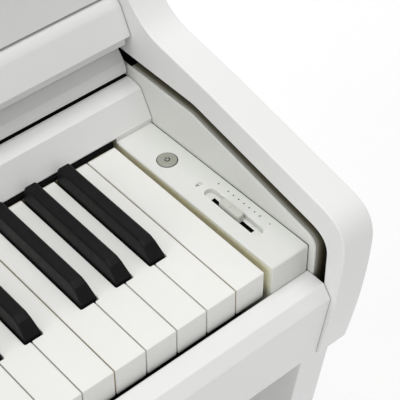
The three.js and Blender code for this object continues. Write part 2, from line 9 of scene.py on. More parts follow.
import bpy
import numpy as np
from bpy.props import FloatProperty, FloatVectorProperty, IntProperty, PointerProperty
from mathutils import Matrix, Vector


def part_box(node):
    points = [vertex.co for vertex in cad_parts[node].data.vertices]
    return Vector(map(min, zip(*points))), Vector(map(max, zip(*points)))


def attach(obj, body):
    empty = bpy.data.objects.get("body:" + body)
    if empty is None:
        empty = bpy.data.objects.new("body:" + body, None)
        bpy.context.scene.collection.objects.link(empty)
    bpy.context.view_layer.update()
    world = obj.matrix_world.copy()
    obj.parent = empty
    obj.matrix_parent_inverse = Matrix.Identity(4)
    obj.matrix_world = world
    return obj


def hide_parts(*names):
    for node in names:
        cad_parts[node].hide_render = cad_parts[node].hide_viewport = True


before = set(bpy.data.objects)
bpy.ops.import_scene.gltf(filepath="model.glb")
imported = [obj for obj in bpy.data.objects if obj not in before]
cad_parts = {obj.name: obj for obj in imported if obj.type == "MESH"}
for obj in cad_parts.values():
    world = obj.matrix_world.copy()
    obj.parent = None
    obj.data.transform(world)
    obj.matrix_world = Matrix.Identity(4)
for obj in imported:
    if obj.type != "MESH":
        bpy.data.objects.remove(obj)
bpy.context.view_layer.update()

bl_info = {
    "name": "Cabinet digital piano",
    "version": (1, 0, 0),
    "blender": (4, 5, 0),
    "location": "View3D > Sidebar > Piano",
    "description": "Builds a white digital piano on its stand, one group of pieces at a time",
    "category": "Add Mesh",
}

MM = 0.001
X, Y, Z = 0, 1, 2

# ---- places and sizes, in millimetres from the key datum ----------------------------------------
DATUM = np.array([0.0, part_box("key_C8")[0].y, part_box("key_C8")[1].z])


def reach(node):
    """Lowest and highest corner of a part of the frame, in millimetres from the key datum."""
    return (np.array(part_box(node)) - DATUM) / MM


GAP = 0.3  # between pieces that touch
WHITE_GAP = 1.0
KEYS_HALF = round(float(reach("key_C8")[1][X]) + WHITE_GAP / 2, 2)
WHITE_COUNT = 52
WHITE_PITCH = 2 * KEYS_HALF / WHITE_COUNT
WHITE_LENGTH = 149.5
WHITE_DEPTH = 21.5
KEY_SPREAD = 0.1  # how much wider than the frame's a finished white key is, on each side
CAP = 1.2  # thickness of the resin cap on a white key
NOTCH_WIDTH = 13.7
NOTCH_FRONT = 50.0
BLACK_BASE = 5.8  # half widths of a black key at its foot and at its top
BLACK_TOP = 4.5
BLACK_HEIGHT = 11.6
BLACK_SHOULDER = 1.5
BLACK_FOOT = -8.0
BLACK_END = 147.5
STICK_END = 250.0

ARM_IN, ARM_OUT = (float(corner[X]) for corner in reach("arm_right"))
CASE_BOTTOM, SIDE_TOP = (float(corner[Z]) for corner in reach("arm_right"))
BACK = float(reach("arm_right")[1][Y])
BOARD_TOP = float(reach("top_board")[1][Z])
REST_TOP = float(reach("music_rest")[1][Z])
FLOOR = float(reach("foot_right")[0][Z])
BETWEEN = ARM_IN - GAP
BED_TOP = CASE_BOTTOM + 16
SLOT_DEPTH = 12.0
COVER_HALF = KEYS_HALF + 34
COVER_BOTTOM, COVER_TOP = 35.0, 43.0
FOLD = 301.6  # the fold between the cover's leaves, when the cover is in
SHADE_FRONT = 175.2  # from here back, the slot beside the cover's nose is painted black as shade
COVER_SHADE_FRONT = 178.2  # from here back, the fallboard's top under the cover is painted black as shade
CREASE = (163.8, 23.1)  # where the fallboard's face meets its sloping top
SLIP_BACK, SLIP_TOP = -2.5, -21.0
SEAL_FRONT, SEAL_REAR = 176.0, 188.0
LINING_GROOVE, LINING_STEP = 1.5, 1.85  # depths at which the lining's fine groove starts and ends

LEG_IN, LEG_OUT = KEYS_HALF + 24, KEYS_HALF + 50
LEG_FRONT, LEG_LEAN = -14.9, 0.134  # front at the top, and how far it leans back per mm of height
FOOT_TOP = FLOOR + 45
STAND_REAR = 408.0

BLOCK_NEAR, BLOCK_FAR = KEYS_HALF + 4, KEYS_HALF + 35.05
BLOCK_FRONT, BLOCK_REAR = -2.6, 158.0
BLOCK_TOP_FRONT, BLOCK_TOP_REAR = 2.4, -0.4
BUTTON_X, BUTTON_Y, BUTTON_RADIUS = KEYS_HALF + 18.4, 116.4, 7.0
GROOVE_X, GROOVE_FRONT, GROOVE_REAR, GROOVE_RADIUS, GROOVE_DEPTH = KEYS_HALF + 19.2, 24.5, 77.5, 4.1, 3.6
LEVER_FRONT, LEVER_REAR, LEVER_HALF = 32.2, 70.9, 1.5
FADER_Y, FADER_HALF, FADER_TOP = 53.0, 10.0, 4.0
PANEL_BUTTONS = (60.0, 36.0)
PANEL_BUTTON_RADIUS = 5.0
DISPLAY_X, DISPLAY_FRONT, DISPLAY_REAR, DISPLAY_HALF = -KEYS_HALF - 19.4, 84.0, 128.0, 11.5

REST_AXIS_Y, REST_AXIS_Z = 218.5, 161.3
REST_HALF = 390.0
SPEAKER_X, SPEAKER_Y = 430.0, 335.0
JACKS_X, JACK_Z, JACK_RADIUS = (-306.0, -270.0), -42.0, 3.4
PHONES_X, PHONES_Z = (-535.0, -505.0), CASE_BOTTOM - 13
PEDAL_PITCH, PEDAL_Y, PEDAL_Z = 66.0, 300.0, -650.0
ADJUSTER_Y = 176.0

NOTES = ("C", "Cs", "D", "Ds", "E", "F", "Fs", "G", "Gs", "A", "As", "B")
WHITE_STEP = {"C": 0, "D": 1, "E": 2, "F": 3, "G": 4, "A": 5, "B": 6}
BLACK_STEP = {"Cs": (1, -2.4), "Ds": (2, 2.4), "Fs": (4, -3.2), "Gs": (5, 0.2), "As": (6, 3.3)}
KEY_COUNT = 88
FIRST_NOTE = 9  # the lowest key is an A
KEY_GROUPS = (("keys_low", 26, "keys_A0_to_B2"), ("keys_middle", 50, "keys_C3_to_B4"),
              ("keys_high", 74, "keys_C5_to_B6"))


def linear(hex_colour):
    """An sRGB hex colour as linear red, green, blue and alpha."""
    srgb = np.array([int(hex_colour[i:i + 2], 16) for i in (1, 3, 5)]) / 255
    rgb = np.where(srgb <= 0.04045, srgb / 12.92, ((srgb + 0.055) / 1.055) ** 2.4)
    return (*(float(channel) for channel in rgb), 1.0)


# ---- what a user would change --------------------------------------------------------------------
def length(name, description, millimetres, highest):
    """A length that a user can set, given in millimetres and kept in metres."""
    return FloatProperty(name=name, description=description, default=millimetres * MM, min=0.1 * MM,
                         max=highest * MM, unit="LENGTH", precision=5)


def colour(name, description, hex_colour):
    """A colour that a user can set."""
    return FloatVectorProperty(name=name, description=description, default=linear(hex_colour), size=4,
                               min=0, max=1, subtype="COLOR")


class PianoSizes(bpy.types.PropertyGroup):
    """Roundings and small sizes that the frame leaves open."""

    case_edge: length("Case edge", "Rounding along the edges of the lacquered boards", 1.1, 3.0)
    plastic_edge: length("Moulding edge", "Rounding along the edges of the moulded end blocks", 1.3, 1.5)
    white_edge: length("White key edge", "Rounding round the top of a white key", 0.7, 1.2)
    black_edge: length("Black key edge", "Rounding along the top of a black key", 1.8, 2.5)
    dot: length("Dot", "Diameter of the printed dots beside the volume slider", 1.1, 2.0)
    steps: IntProperty(name="Edge steps", description="Flats that make up a rounded edge", default=4,
                       min=2, max=8)


class PianoColours(bpy.types.PropertyGroup):
    """Colours of the finishes."""

    case: colour("Case", "Satin lacquer on the boards", "#F0F0EF")
    block: colour("Mouldings", "End blocks and slot linings", "#E5E6E2")
    white: colour("White keys", "Cast resin caps", "#F0F0EC")
    black: colour("Black keys", "Moulded resin caps", "#161617")
    slider: colour("Slider", "Volume slider's knob", "#CBCDC4")
    button: colour("Buttons", "Painted push buttons", "#A6A79C")
    ink: colour("Ink", "Dots and symbols", "#30312E")
    plastic: colour("Dark plastic", "Housings, jacks and speaker frames", "#2B2B2A")
    brass: colour("Pedals", "Polished brass", "#C9A45A")
    steel: colour("Steel", "Hinges, screws and nuts", "#B4B6B8")
    felt: colour("Felt", "Felt strip that stops the keys", "#7A3030")
    # painted shade: the brown-green deep in the cover's slot, where little light reaches
    track: colour("Slot", "Cloth deep inside the cover's slot", "#473F2A")
    spruce: colour("Key wood", "Planed wood of the key sticks", "#DFD0A4")
    board: colour("Hidden board", "Backing film on the key bed", "#A3A19B")
    cloth: colour("Speaker cone", "Pressed paper of the cones", "#1E1E1F")


def sizes():
    """The sizes as they are set now."""
    return bpy.context.scene.piano_sizes


def colours():
    """The colours as they are set now."""
    return bpy.context.scene.piano_colours


# ---- outlines ------------------------------------------------------------------------------------
def rounded(rows, steps=None):
    """Rounds an outline's corners. Each row is a corner's two coordinates and its radius, and a radius
    of 0 leaves a point alone. With u and v the directions to the corner's neighbours and h half the
    angle between them, the arc starts radius / tan(h) along u, and its centre is radius / sin(h)
    along the bisector. The start is then turned about the centre by pi - 2h in equal steps."""
    steps = steps or sizes().steps
    rows = np.asarray(rows, float)
    point, radius = rows[..., :2], rows[..., 2]
    back, ahead = np.roll(point, 1, -2) - point, np.roll(point, -1, -2) - point
    back_length, ahead_length = np.linalg.norm(back, axis=-1), np.linalg.norm(ahead, axis=-1)
    u, v = back / back_length[..., None], ahead / ahead_length[..., None]
    half = np.arccos(np.clip((u * v).sum(-1), -1, 1)) / 2
    start = np.minimum(radius / np.tan(half), 0.45 * np.minimum(back_length, ahead_length))
    bisector = u + v
    bisector /= np.maximum(np.linalg.norm(bisector, axis=-1), 1e-9)[..., None]
    centre = point + bisector * (start / np.cos(half))[..., None]
    arm = (point + u * start[..., None] - centre)[..., None, :]
    side = np.sign(u[..., 1] * v[..., 0] - u[..., 0] * v[..., 1])
    angle = (side * (np.pi - 2 * half))[..., None] * np.linspace(0, 1, steps + 1)
    across = np.stack([-arm[..., 1], arm[..., 0]], -1)
    arcs = centre[..., None, :] + arm * np.cos(angle)[..., None] + across * np.sin(angle)[..., None]
    first = radius.reshape(-1, radius.shape[-1])[0]
    keep = (first[:, None] > 0) | (np.arange(steps + 1) == 0)
    return arcs.reshape(*rows.shape[:-2], -1, 2)[..., keep.ravel(), :]


def bend(*controls, steps=10):
    """Rows along a Bezier curve after its first control: each control is weighted by its binomial
    term of t and 1 - t."""
    t = np.linspace(0, 1, steps + 1)[1:, None]
    order = len(controls) - 1
    weights = [math.comb(order, i) * t**i * (1 - t) ** (order - i) for i in range(order + 1)]
    points = sum(weight * np.array(control, float) for weight, control in zip(weights, controls))
    return np.column_stack([points, np.zeros(steps)])


def outline(*runs):
    """A rounded outline from single rows and from runs of them."""
    return rounded(np.vstack([np.atleast_2d(run) for run in runs]))


def corners(points, radius):
    """An outline from plain corners that share one radius."""
    return rounded([(a, b, radius) for a, b in points])


def oblong(a0, a1, b0, b1, radius):
    """A rectangle with rounded corners."""
    return corners([(a0, b0), (a1, b0), (a1, b1), (a0, b1)], radius)


def circle(a, b, radius, sides=32):
    """Points at equal angles round a centre."""
    angle = np.linspace(0, 2 * np.pi, sides, endpoint=False)
    return np.column_stack([a + radius * np.cos(angle), b + radius * np.sin(angle)])


def stadium(a, b0, b1, radius, sides=14):
    """Two half circles joined by straight sides: the far half about (a, b1), then the near one."""
    angle = np.linspace(0, np.pi, sides + 1)
    far = np.column_stack([a + radius * np.cos(angle), b1 - radius + radius * np.sin(angle)])
    near = np.column_stack([a - radius * np.cos(angle), b0 + radius - radius * np.sin(angle)])
    return np.vstack([far, near])


# ---- surfaces ------------------------------------------------------------------------------------
def skin(rings):
    """Vertices and faces of rings of points joined in order, the first and the last ring closed by a
    flat face. Neighbours j and j + 1 on ring i and on ring i + 1 are the corners of one face."""
    count, size = rings.shape[:2]
    i, j = np.meshgrid(np.arange(count - 1), np.arange(size), indexing="ij")
    here, ahead = i * size + j, i * size + (j + 1) % size
    quads = np.stack([here, ahead, ahead + size, here + size], -1).reshape(-1, 4)
    caps = [np.arange(size)[::-1], np.arange(size) + (count - 1) * size]
    return rings.reshape(-1, 3), quads.tolist() + [cap.tolist() for cap in caps]


def loft(shape, axis, places, insets):
    """An outline carried along an axis to each place and drawn in by each inset: a point moves by
    the sum of its two edges' inward normals over one plus their product, times the inset. The
    outline is given in the two axes that follow the first, and may be one or one for each place."""
    places, insets = np.asarray(places, float), np.asarray(insets, float)
    shape = np.broadcast_to(shape, (len(places), *np.shape(shape)[-2:]))
    ahead = np.roll(shape, -1, 1)
    area = (shape[0, :, 0] * ahead[0, :, 1] - shape[0, :, 1] * ahead[0, :, 0]).sum()
    shape = shape if area > 0 else shape[:, ::-1]
    edge = np.roll(shape, -1, 1) - shape
    normal = np.stack([-edge[..., 1], edge[..., 0]], -1)
    normal /= np.maximum(np.linalg.norm(normal, axis=-1), 1e-9)[..., None]
    before = np.roll(normal, 1, 1)
    inward = (normal + before) / (1 + (normal * before).sum(-1))[..., None]
    moved = shape + inward * insets[:, None, None]
    rings = np.empty((*moved.shape[:2], 3))
    rings[..., axis] = places[:, None]
    rings[..., (axis + 1) % 3] = moved[..., 0]
    rings[..., (axis + 2) % 3] = moved[..., 1]
    return skin(rings)


def quarter(edge):
    """Distance from the end, and inset, at steps round a quarter circle of that radius."""
    angle = np.linspace(0, np.pi / 2, sizes().steps + 1)
    return edge - edge * np.cos(angle), edge - edge * np.sin(angle)


def prism(shape, axis, low, high, edge=None, low_edge=None):
    """An outline carried straight along an axis, with a quarter round at both ends."""
    edge = sizes().case_edge / MM if edge is None else edge
    near, near_inset = quarter(edge if low_edge is None else low_edge)
    far, far_inset = quarter(edge)
    places = np.concatenate([low + near, high - far[::-1]])
    return loft(shape, axis, places, np.concatenate([near_inset, far_inset[::-1]]))


def block(x0, x1, y0, y1, z0, z1, edge=0.5):
    """A box with every edge rounded."""
    return prism(oblong(x0, x1, y0, y1, 1.3 * edge), Z, z0, z1, edge)


def rod(axis, low, high, a, b, radius, edge=0.3, sides=24):
    """A round bar with rounded ends, about a centre in the two axes that follow its own."""
    return prism(circle(a, b, radius, sides), axis, low, high, edge)


def turned(rows, x, y, sides=48):
    """A profile of radius, height and corner radius turned about an upright axis: it starts and ends
    on the axis, runs outwards along the bottom and back along the top."""
    profile = rounded(rows)
    profile = profile[profile[:, 0] > 0.01]
    angle = np.linspace(0, 2 * np.pi, sides, endpoint=False)
    rings = np.empty((len(profile), sides, 3))
    rings[..., 0] = x + profile[:, :1] * np.cos(angle)
    rings[..., 1] = y + profile[:, :1] * np.sin(angle)
    rings[..., 2] = profile[:, 1:]
    return skin(rings)


def tipped(surface, axis):
    """The surface with its upright axis laid along another one, by turning the axes in a ring."""
    vertices, faces = surface
    return np.roll(vertices, axis - Z, 1), faces


def shifted(surface, x=0.0, y=0.0, z=0.0):
    """The surface moved."""
    return surface[0] + np.array([x, y, z]), surface[1]


def mirrored(surface):
    """The surface on the other side of the middle, each face turned round so that it looks out."""
    vertices, faces = surface
    return vertices * (-1, 1, 1), [face[::-1] for face in faces]


SIDES = (("right", lambda surface: surface), ("left", mirrored))


def cutter(shape, axis, low, high, rim=0.5):
    """A hole's negative that flares by a quarter round where it comes out at the high end."""
    angle = np.linspace(0, np.pi / 2, sizes().steps + 1)
    places = np.concatenate([[low], high - rim + rim * np.sin(angle), [high + 1]])
    insets = np.concatenate([[0], rim * np.cos(angle) - rim, [-rim]])
    return loft(shape, axis, places, insets)


# ---- making a piece --------------------------------------------------------------------------------
def together(surfaces):
    """Surfaces that stay clear of each other, as one."""
    starts = np.cumsum([0] + [len(vertices) for vertices, _ in surfaces])
    faces = [[int(start) + i for i in face] for start, (_, these) in zip(starts, surfaces) for face in these]
    return np.vstack([vertices for vertices, _ in surfaces]), faces


def shell(name, surfaces):
    """One object holding closed surfaces, moved from the key datum into the frame, in metres."""
    vertices, faces = together(surfaces)
    mesh = bpy.data.meshes.new(name)
    mesh.from_pydata((vertices * MM + DATUM).tolist(), [], faces)
    made = bpy.data.objects.new(name, mesh)
    bpy.context.scene.collection.objects.link(made)
    return made


def work(made, operation, surfaces):
    """Routs closed surfaces out of a piece, or joins them to it, one after another, and keeps the
    result as its mesh."""
    tools = [shell("tool", [surface]) for surface in surfaces]
    for tool in tools:
        change = made.modifiers.new("work", "BOOLEAN")
        change.operation = operation
        change.solver = "EXACT"
        change.object = tool
    ready = made.evaluated_get(bpy.context.evaluated_depsgraph_get())
    worked, old = bpy.data.meshes.new_from_object(ready), made.data
    made.modifiers.clear()
    made.data = worked
    for spent in [old, *(tool.data for tool in tools)]:
        bpy.data.meshes.remove(spent)


def piece(name, surfaces, finishes, stands_for=(), body="root", cut=(), join=(), choose=None):
    """A finished piece: its surfaces joined and cut, its materials, even shading, and the body it
    rides on. choose gives each face's material from the faces' centres in millimetres."""
    made = shell(name, surfaces)
    if join:
        work(made, "UNION", join)
    if cut:
        work(made, "DIFFERENCE", cut)
    mesh = made.data
    mesh.materials.clear()
    for wanted in [finishes] if isinstance(finishes, str) else finishes:
        mesh.materials.append(finish(wanted))
    if choose:
        centres = np.empty(3 * len(mesh.polygons))
        mesh.polygons.foreach_get("center", centres)
        centres = (centres.reshape(-1, 3) - DATUM) / MM
        mesh.polygons.foreach_set("material_index", choose(centres).astype(np.int32))
    mesh.shade_smooth()
    mesh.set_sharp_from_angle(angle=math.radians(42))
    made.modifiers.new("even_shading", "WEIGHTED_NORMAL").keep_sharp = True
    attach(made, body)
    if stands_for:
        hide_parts(*([stands_for] if isinstance(stands_for, str) else stands_for))
    return made


def dress(node, wanted):
    """A part of the frame whose own shape is right gets its finish."""
    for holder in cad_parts[node].material_slots:
        holder.link = "OBJECT"
        holder.material = finish(wanted)


# ---- materials -------------------------------------------------------------------------------------
def add(tree, kind, inputs=None, **settings):
    """Adds one node with its settings, and gives its sockets values or links them to outputs."""
    node = tree.nodes.new(kind)
    for setting, value in settings.items():
        setattr(node, setting, value)
    for socket, value in (inputs or {}).items():
        if isinstance(value, bpy.types.NodeSocket):
            tree.links.new(value, node.inputs[socket])
        else:
            node.inputs[socket].default_value = value
    return node


def per_mm(size):
    """The scale that makes a noise's features about that many millimetres across."""
    return 1 / (size * MM)


def surface(name, base, roughness, cloud, gloss, relief, **shader_values):
    """A finish with its fine detail. cloud is the size in mm and depth of a slow change of tone, gloss
    the same for roughness, and relief the spacing and height in mm of the bumps in its skin."""
    material = bpy.data.materials.new(name)
    material.use_nodes = True
    material.diffuse_color = base
    tree = material.node_tree
    tree.nodes.clear()
    where = add(tree, "ShaderNodeTexCoord").outputs["Object"]
    tone = add(tree, "ShaderNodeTexNoise", {"Vector": where, "Scale": per_mm(cloud[0]), "Detail": 3.0})
    value = add(tree, "ShaderNodeMapRange", {
        "Value": tone.outputs["Fac"], "From Min": 0.3, "From Max": 0.7,
        "To Min": 1 - cloud[1], "To Max": 1 + cloud[1]})
    paint = add(tree, "ShaderNodeHueSaturation", {"Color": base, "Value": value.outputs["Result"]})
    mottle = add(tree, "ShaderNodeTexNoise", {"Vector": where, "Scale": per_mm(gloss[0]), "Detail": 4.0})
    sheen = add(tree, "ShaderNodeMapRange", {
        "Value": mottle.outputs["Fac"], "From Min": 0.3, "From Max": 0.7,
        "To Min": roughness - gloss[1], "To Max": roughness + gloss[1]})
    grain = add(tree, "ShaderNodeTexNoise", {"Vector": where, "Scale": per_mm(relief[0]), "Detail": 2.0})
    bumps = add(tree, "ShaderNodeBump", {
        "Height": grain.outputs["Fac"], "Distance": relief[1] * MM, "Strength": 1.0})
    shader = add(tree, "ShaderNodeBsdfPrincipled", {
        "Base Color": paint.outputs["Color"], "Roughness": sheen.outputs["Result"],
        "Normal": bumps.outputs["Normal"], **shader_values})
    add(tree, "ShaderNodeOutputMaterial", {"Surface": shader.outputs["BSDF"]})
    return material, tree, shader, where


def satin_lacquer():
    """Polyurethane lacquer sprayed on fibreboard and left satin: clean white, a wide dull sheen, and
    the spray's faint orange peel. The peel is drawn 3 mm apart, about twice the real spacing."""
    return surface("satin_lacquer_on_fibreboard", colours().case, 0.42, (90, 0.008), (30, 0.03),
                   (3.0, 0.008), IOR=1.5)[0]


def block_moulding():
    """ABS moulded against a spark-eroded tool: a warm pale grey with an even, eggshell-fine grain.
    The real grain is 0.1 mm, too fine to show, so it is drawn at 0.5 mm."""
    return surface("spark_textured_abs", colours().block, 0.5, (50, 0.01), (12, 0.04), (0.5, 0.012),
                   IOR=1.53)[0]


def white_resin():
    """Acrylic resin cast for key tops and left matt: ivory-like, dry to the eye, with a soft sheen."""
    return surface("matt_acrylic_key_resin", colours().white, 0.38, (25, 0.008), (8, 0.04), (0.6, 0.008),
                   IOR=1.49)[0]


def black_resin():
    """Phenolic resin moulded like ebony: nearly black, with fine pores drawn out along the key."""
    material, tree, shader, where = surface(
        "ebony_like_phenolic_resin", colours().black, 0.44, (14, 0.12), (6, 0.05), (0.7, 0.02), IOR=1.55,
        **{"Specular IOR Level": 0.12})
    drawn = add(tree, "ShaderNodeMapping", {"Vector": where, "Scale": (1.0, 0.08, 1.0)})
    pores = add(tree, "ShaderNodeTexNoise", {
        "Vector": drawn.outputs["Vector"], "Scale": per_mm(0.6), "Detail": 3.0})
    furrows = add(tree, "ShaderNodeBump", {
        "Height": pores.outputs["Fac"], "Distance": 0.03 * MM, "Strength": 1.0})
    tree.links.new(furrows.outputs["Normal"], shader.inputs["Normal"])
    return material


def button_paint():
    """Metallic grey paint on ABS: fine flakes make it sparkle slightly and read as soft silver."""
    return surface("silver_grey_button_paint", colours().button, 0.42, (3, 0.02), (2, 0.06),
                   (0.4, 0.006), Metallic=0.15, IOR=1.5)[0]


def slider_moulding():
    """The slider's own ABS, a shade greyer than the block and polished a little by fingers."""
    return surface("fingered_grey_abs", colours().slider, 0.38, (6, 0.015), (3, 0.06), (0.5, 0.008),
                   IOR=1.53)[0]


def printed_ink():
    """Pad-printed ink: flat dark grey, slightly broken where it sits on the grain."""
    return surface("pad_printed_ink", colours().ink, 0.6, (0.4, 0.1), (0.5, 0.08), (0.4, 0.004),
                   IOR=1.5)[0]


def faint_ink():
    """The same ink printed thinly, for the marks at the quiet end and the loudness sign."""
    return surface("thin_pad_printed_ink", linear("#93958F"), 0.6, (0.4, 0.1), (0.5, 0.08), (0.4, 0.004),
                   IOR=1.5)[0]


def dark_moulding():
    """Black ABS with a coarse leather-like grain, which keeps it matt and hides dust."""
    return surface("grained_black_abs", colours().plastic, 0.58, (20, 0.08), (5, 0.06), (0.8, 0.05),
                   IOR=1.53)[0]


def painted_slot_shade():
    """Painted shade in the cover's slot: a brown-green that runs from pale grey at the slot's mouth
    to nearly black 8 mm in, darker with depth where less light reaches."""
    material, tree, shader, where = surface(
        "slot_painted_shade", colours().track, 0.95, (6, 0.12), (2, 0.03), (0.5, 0.1), IOR=1.45)
    place = add(tree, "ShaderNodeSeparateXYZ", {"Vector": where})
    side = add(tree, "ShaderNodeMath", {0: place.outputs["X"]}, operation="ABSOLUTE")
    depth = add(tree, "ShaderNodeMapRange", {
        "Value": side.outputs["Value"], "From Min": (ARM_IN + 1.5) * MM, "From Max": (ARM_IN + 8) * MM})
    shade_ramp = add(tree, "ShaderNodeValToRGB", {"Fac": depth.outputs["Result"]})
    shade_ramp.color_ramp.elements[0].color = linear("#D6D6CD")
    shade_ramp.color_ramp.elements[1].color = tuple(colours().track)
    shade_ramp.color_ramp.elements.new(0.45).color = linear("#8B8673")
    tree.links.new(shade_ramp.outputs["Color"], shader.inputs["Base Color"])
    return material


def planed_spruce():
    """Spruce planed square for the key sticks: pale honey, with darker late wood every 1.5 mm that
    runs the length of the stick."""
    material, tree, shader, where = surface(
        "planed_spruce", colours().spruce, 0.65, (30, 0.05), (4, 0.05), (0.5, 0.03), IOR=1.5)
    drawn = add(tree, "ShaderNodeMapping", {"Vector": where, "Scale": (1.0, 0.03, 1.0)})
    late = add(tree, "ShaderNodeTexNoise", {
        "Vector": drawn.outputs["Vector"], "Scale": per_mm(1.5), "Detail": 4.0})
    rings = add(tree, "ShaderNodeValToRGB", {"Fac": late.outputs["Fac"]})
    rings.color_ramp.elements[0].position = 0.35
    rings.color_ramp.elements[0].color = linear("#C8B17F")
    rings.color_ramp.elements[1].position = 0.55
    rings.color_ramp.elements[1].color = tuple(colours().spruce)
    tree.links.new(rings.outputs["Color"], shader.inputs["Base Color"])
    return material


def bare_board():
    """Particle board under a thin grey backing film: dull, with the chips' edges showing faintly."""
    material, tree, shader, where = surface(
        "film_backed_particle_board", colours().board, 0.75, (40, 0.05), (5, 0.05), (1.5, 0.06), IOR=1.5)
    chips = add(tree, "ShaderNodeTexVoronoi", {"Vector": where, "Scale": per_mm(3.0)})
    tones = add(tree, "ShaderNodeValToRGB", {"Fac": chips.outputs["Color"]})
    tones.color_ramp.elements[0].color = linear("#8B8A86")
    tones.color_ramp.elements[1].color = tuple(colours().board)
    tree.links.new(tones.outputs["Color"], shader.inputs["Base Color"])
    return material


def pressed_felt():
    """Pressed wool felt: no gloss, a soft halo at grazing angles, and a tangle of fibres."""
    return surface("pressed_wool_felt", colours().felt, 1.0, (4, 0.15), (2, 0.0), (0.5, 0.25),
                   **{"Sheen Weight": 0.6, "Sheen Roughness": 0.5})[0]


def black_felt():
    """The same felt in deep black, also used as painted shade on faces in gaps, slots and joints."""
    return surface("black_felt_and_painted_shade", linear("#0A0A0A"), 1.0, (4, 0.2), (2, 0.0), (0.5, 0.25),
                   **{"Sheen Weight": 0.03, "Specular IOR Level": 0.1})[0]


def painted_gap_tint():
    """A painted pale olive tint on a block's side towards the keys, for the warm shade in that gap."""
    return surface("painted_olive_gap_tint", linear("#F0F1DA"), 0.95, (4, 0.05), (2, 0.0), (0.5, 0.1),
                   IOR=1.45)[0]


def polished_brass():
    """Brass cast, buffed and lacquered: warm mirror-like shine, dulled where soles have rubbed."""
    material, tree, shader, where = surface(
        "buffed_brass", colours().brass, 0.2, (25, 0.04), (18, 0.08), (0.8, 0.004), Metallic=1.0)
    drawn = add(tree, "ShaderNodeMapping", {"Vector": where, "Scale": (1.0, 0.05, 1.0)})
    strokes = add(tree, "ShaderNodeTexNoise", {
        "Vector": drawn.outputs["Vector"], "Scale": per_mm(0.5), "Detail": 2.0})
    scratches = add(tree, "ShaderNodeBump", {
        "Height": strokes.outputs["Fac"], "Distance": 0.004 * MM, "Strength": 1.0})
    tree.links.new(scratches.outputs["Normal"], shader.inputs["Normal"])
    return material


def plated_steel():
    """Steel with bright zinc plating: grey-silver, with the plating's faint bloom."""
    return surface("zinc_plated_steel", colours().steel, 0.32, (12, 0.05), (4, 0.08), (0.8, 0.01),
                   Metallic=1.0)[0]


def display_pane():
    """Smoked acrylic: almost black, with the sharp reflections of a polished pane."""
    return surface("smoked_acrylic_pane", linear("#101214"), 0.08, (20, 0.05), (30, 0.02), (8, 0.002),
                   IOR=1.49)[0]


def cone_paper():
    """Pressed paper pulp, dyed black: fibrous and dead matt."""
    return surface("pressed_paper_cone", colours().cloth, 0.9, (3, 0.2), (2, 0.04), (0.9, 0.12),
                   IOR=1.5)[0]


def rubber():
    """Moulded rubber: black with a soft, greasy sheen."""
    return surface("moulded_rubber", linear("#1A1A1A"), 0.5, (8, 0.06), (3, 0.08), (0.6, 0.03),
                   IOR=1.52)[0]


def solder_mask():
    """Fibreglass board under green solder mask: glossy, with paler copper tracks 1 mm wide."""
    material, tree, shader, where = surface(
        "green_solder_mask", linear("#1F5135"), 0.3, (30, 0.05), (6, 0.05), (1.2, 0.02), IOR=1.55)
    tracks = add(tree, "ShaderNodeTexBrick", {
        "Vector": where, "Scale": per_mm(12.0), "Mortar Size": 0.06, "Color1": linear("#1F5135"),
        "Color2": linear("#235A3B"), "Mortar": linear("#4C8A5E")})
    tree.links.new(tracks.outputs["Color"], shader.inputs["Base Color"])
    return material


FINISHES = {
    "lacquer": satin_lacquer, "moulding": block_moulding, "white_resin": white_resin,
    "black_resin": black_resin, "button": button_paint, "slider": slider_moulding,
    "ink": printed_ink, "faint_ink": faint_ink, "dark": dark_moulding,
    "track": painted_slot_shade, "spruce": planed_spruce, "board": bare_board, "felt": pressed_felt,
    "black_felt": black_felt, "painted_gap_tint": painted_gap_tint, "brass": polished_brass,
    "steel": plated_steel, "pane": display_pane, "cone": cone_paper, "rubber": rubber,
    "mask": solder_mask,
}
MADE = {}


def finish(name):
    """A finish's material, made once."""
    if name not in MADE:
        MADE[name] = FINISHES[name]()
    return MADE[name]


# ---- case ------------------------------------------------------------------------------------------
def arm_outline():
    """Side of the case: rounded nose, sloping top, then a swept rise to the top board."""
    return outline(
        (-18.3, CASE_BOTTOM, 2.5), (BACK, CASE_BOTTOM, 2), (BACK, SIDE_TOP, 2), (196, SIDE_TOP, 2),
        bend((196, SIDE_TOP), (190, 116), (182.6, 100), (169.7, 86.9)),
        bend((169.7, 86.9), (161.6, 78.9), (155, 74.2), (142, 71.8)),
        (96, 63.8, 30), (-8.7, 41.4, 0),
        bend((-8.7, 41.4), (-24, 38.2), (-31.4, 32), (-32, 14), steps=14),
        bend((-32, 14), (-31.6, -18), (-26, -55), (-18.3, CASE_BOTTOM), steps=12)[:-1])


def pocket_outline():
    """The pocket in an arm's inner face, whose upper edge is the upper edge of the cover's slot."""
    return outline(
        (-17.5, BED_TOP, 2), (400, BED_TOP, 2), (400, 44, 2), (112, 44, 0),
        bend((112, 44), (105, 43.4), (97.5, 41.5), steps=5), (-3, 21.2, 0),
        bend((-3, 21.2), (-17.5, 18), (-17.5, 4)))


def lining_outline():
    """The panel that fills the pocket below the slot."""
    return outline(
        (-7.5, BED_TOP + GAP, 1.5), (398, BED_TOP + GAP, 1.5), (398, 34.2, 1.5),
        (SHADE_FRONT, 34.2, 0), (112, 34.2, 12),
        (1.5, 11.1, 0), bend((1.5, 11.1), (-7.5, 9.2), (-7.5, 1), steps=8))


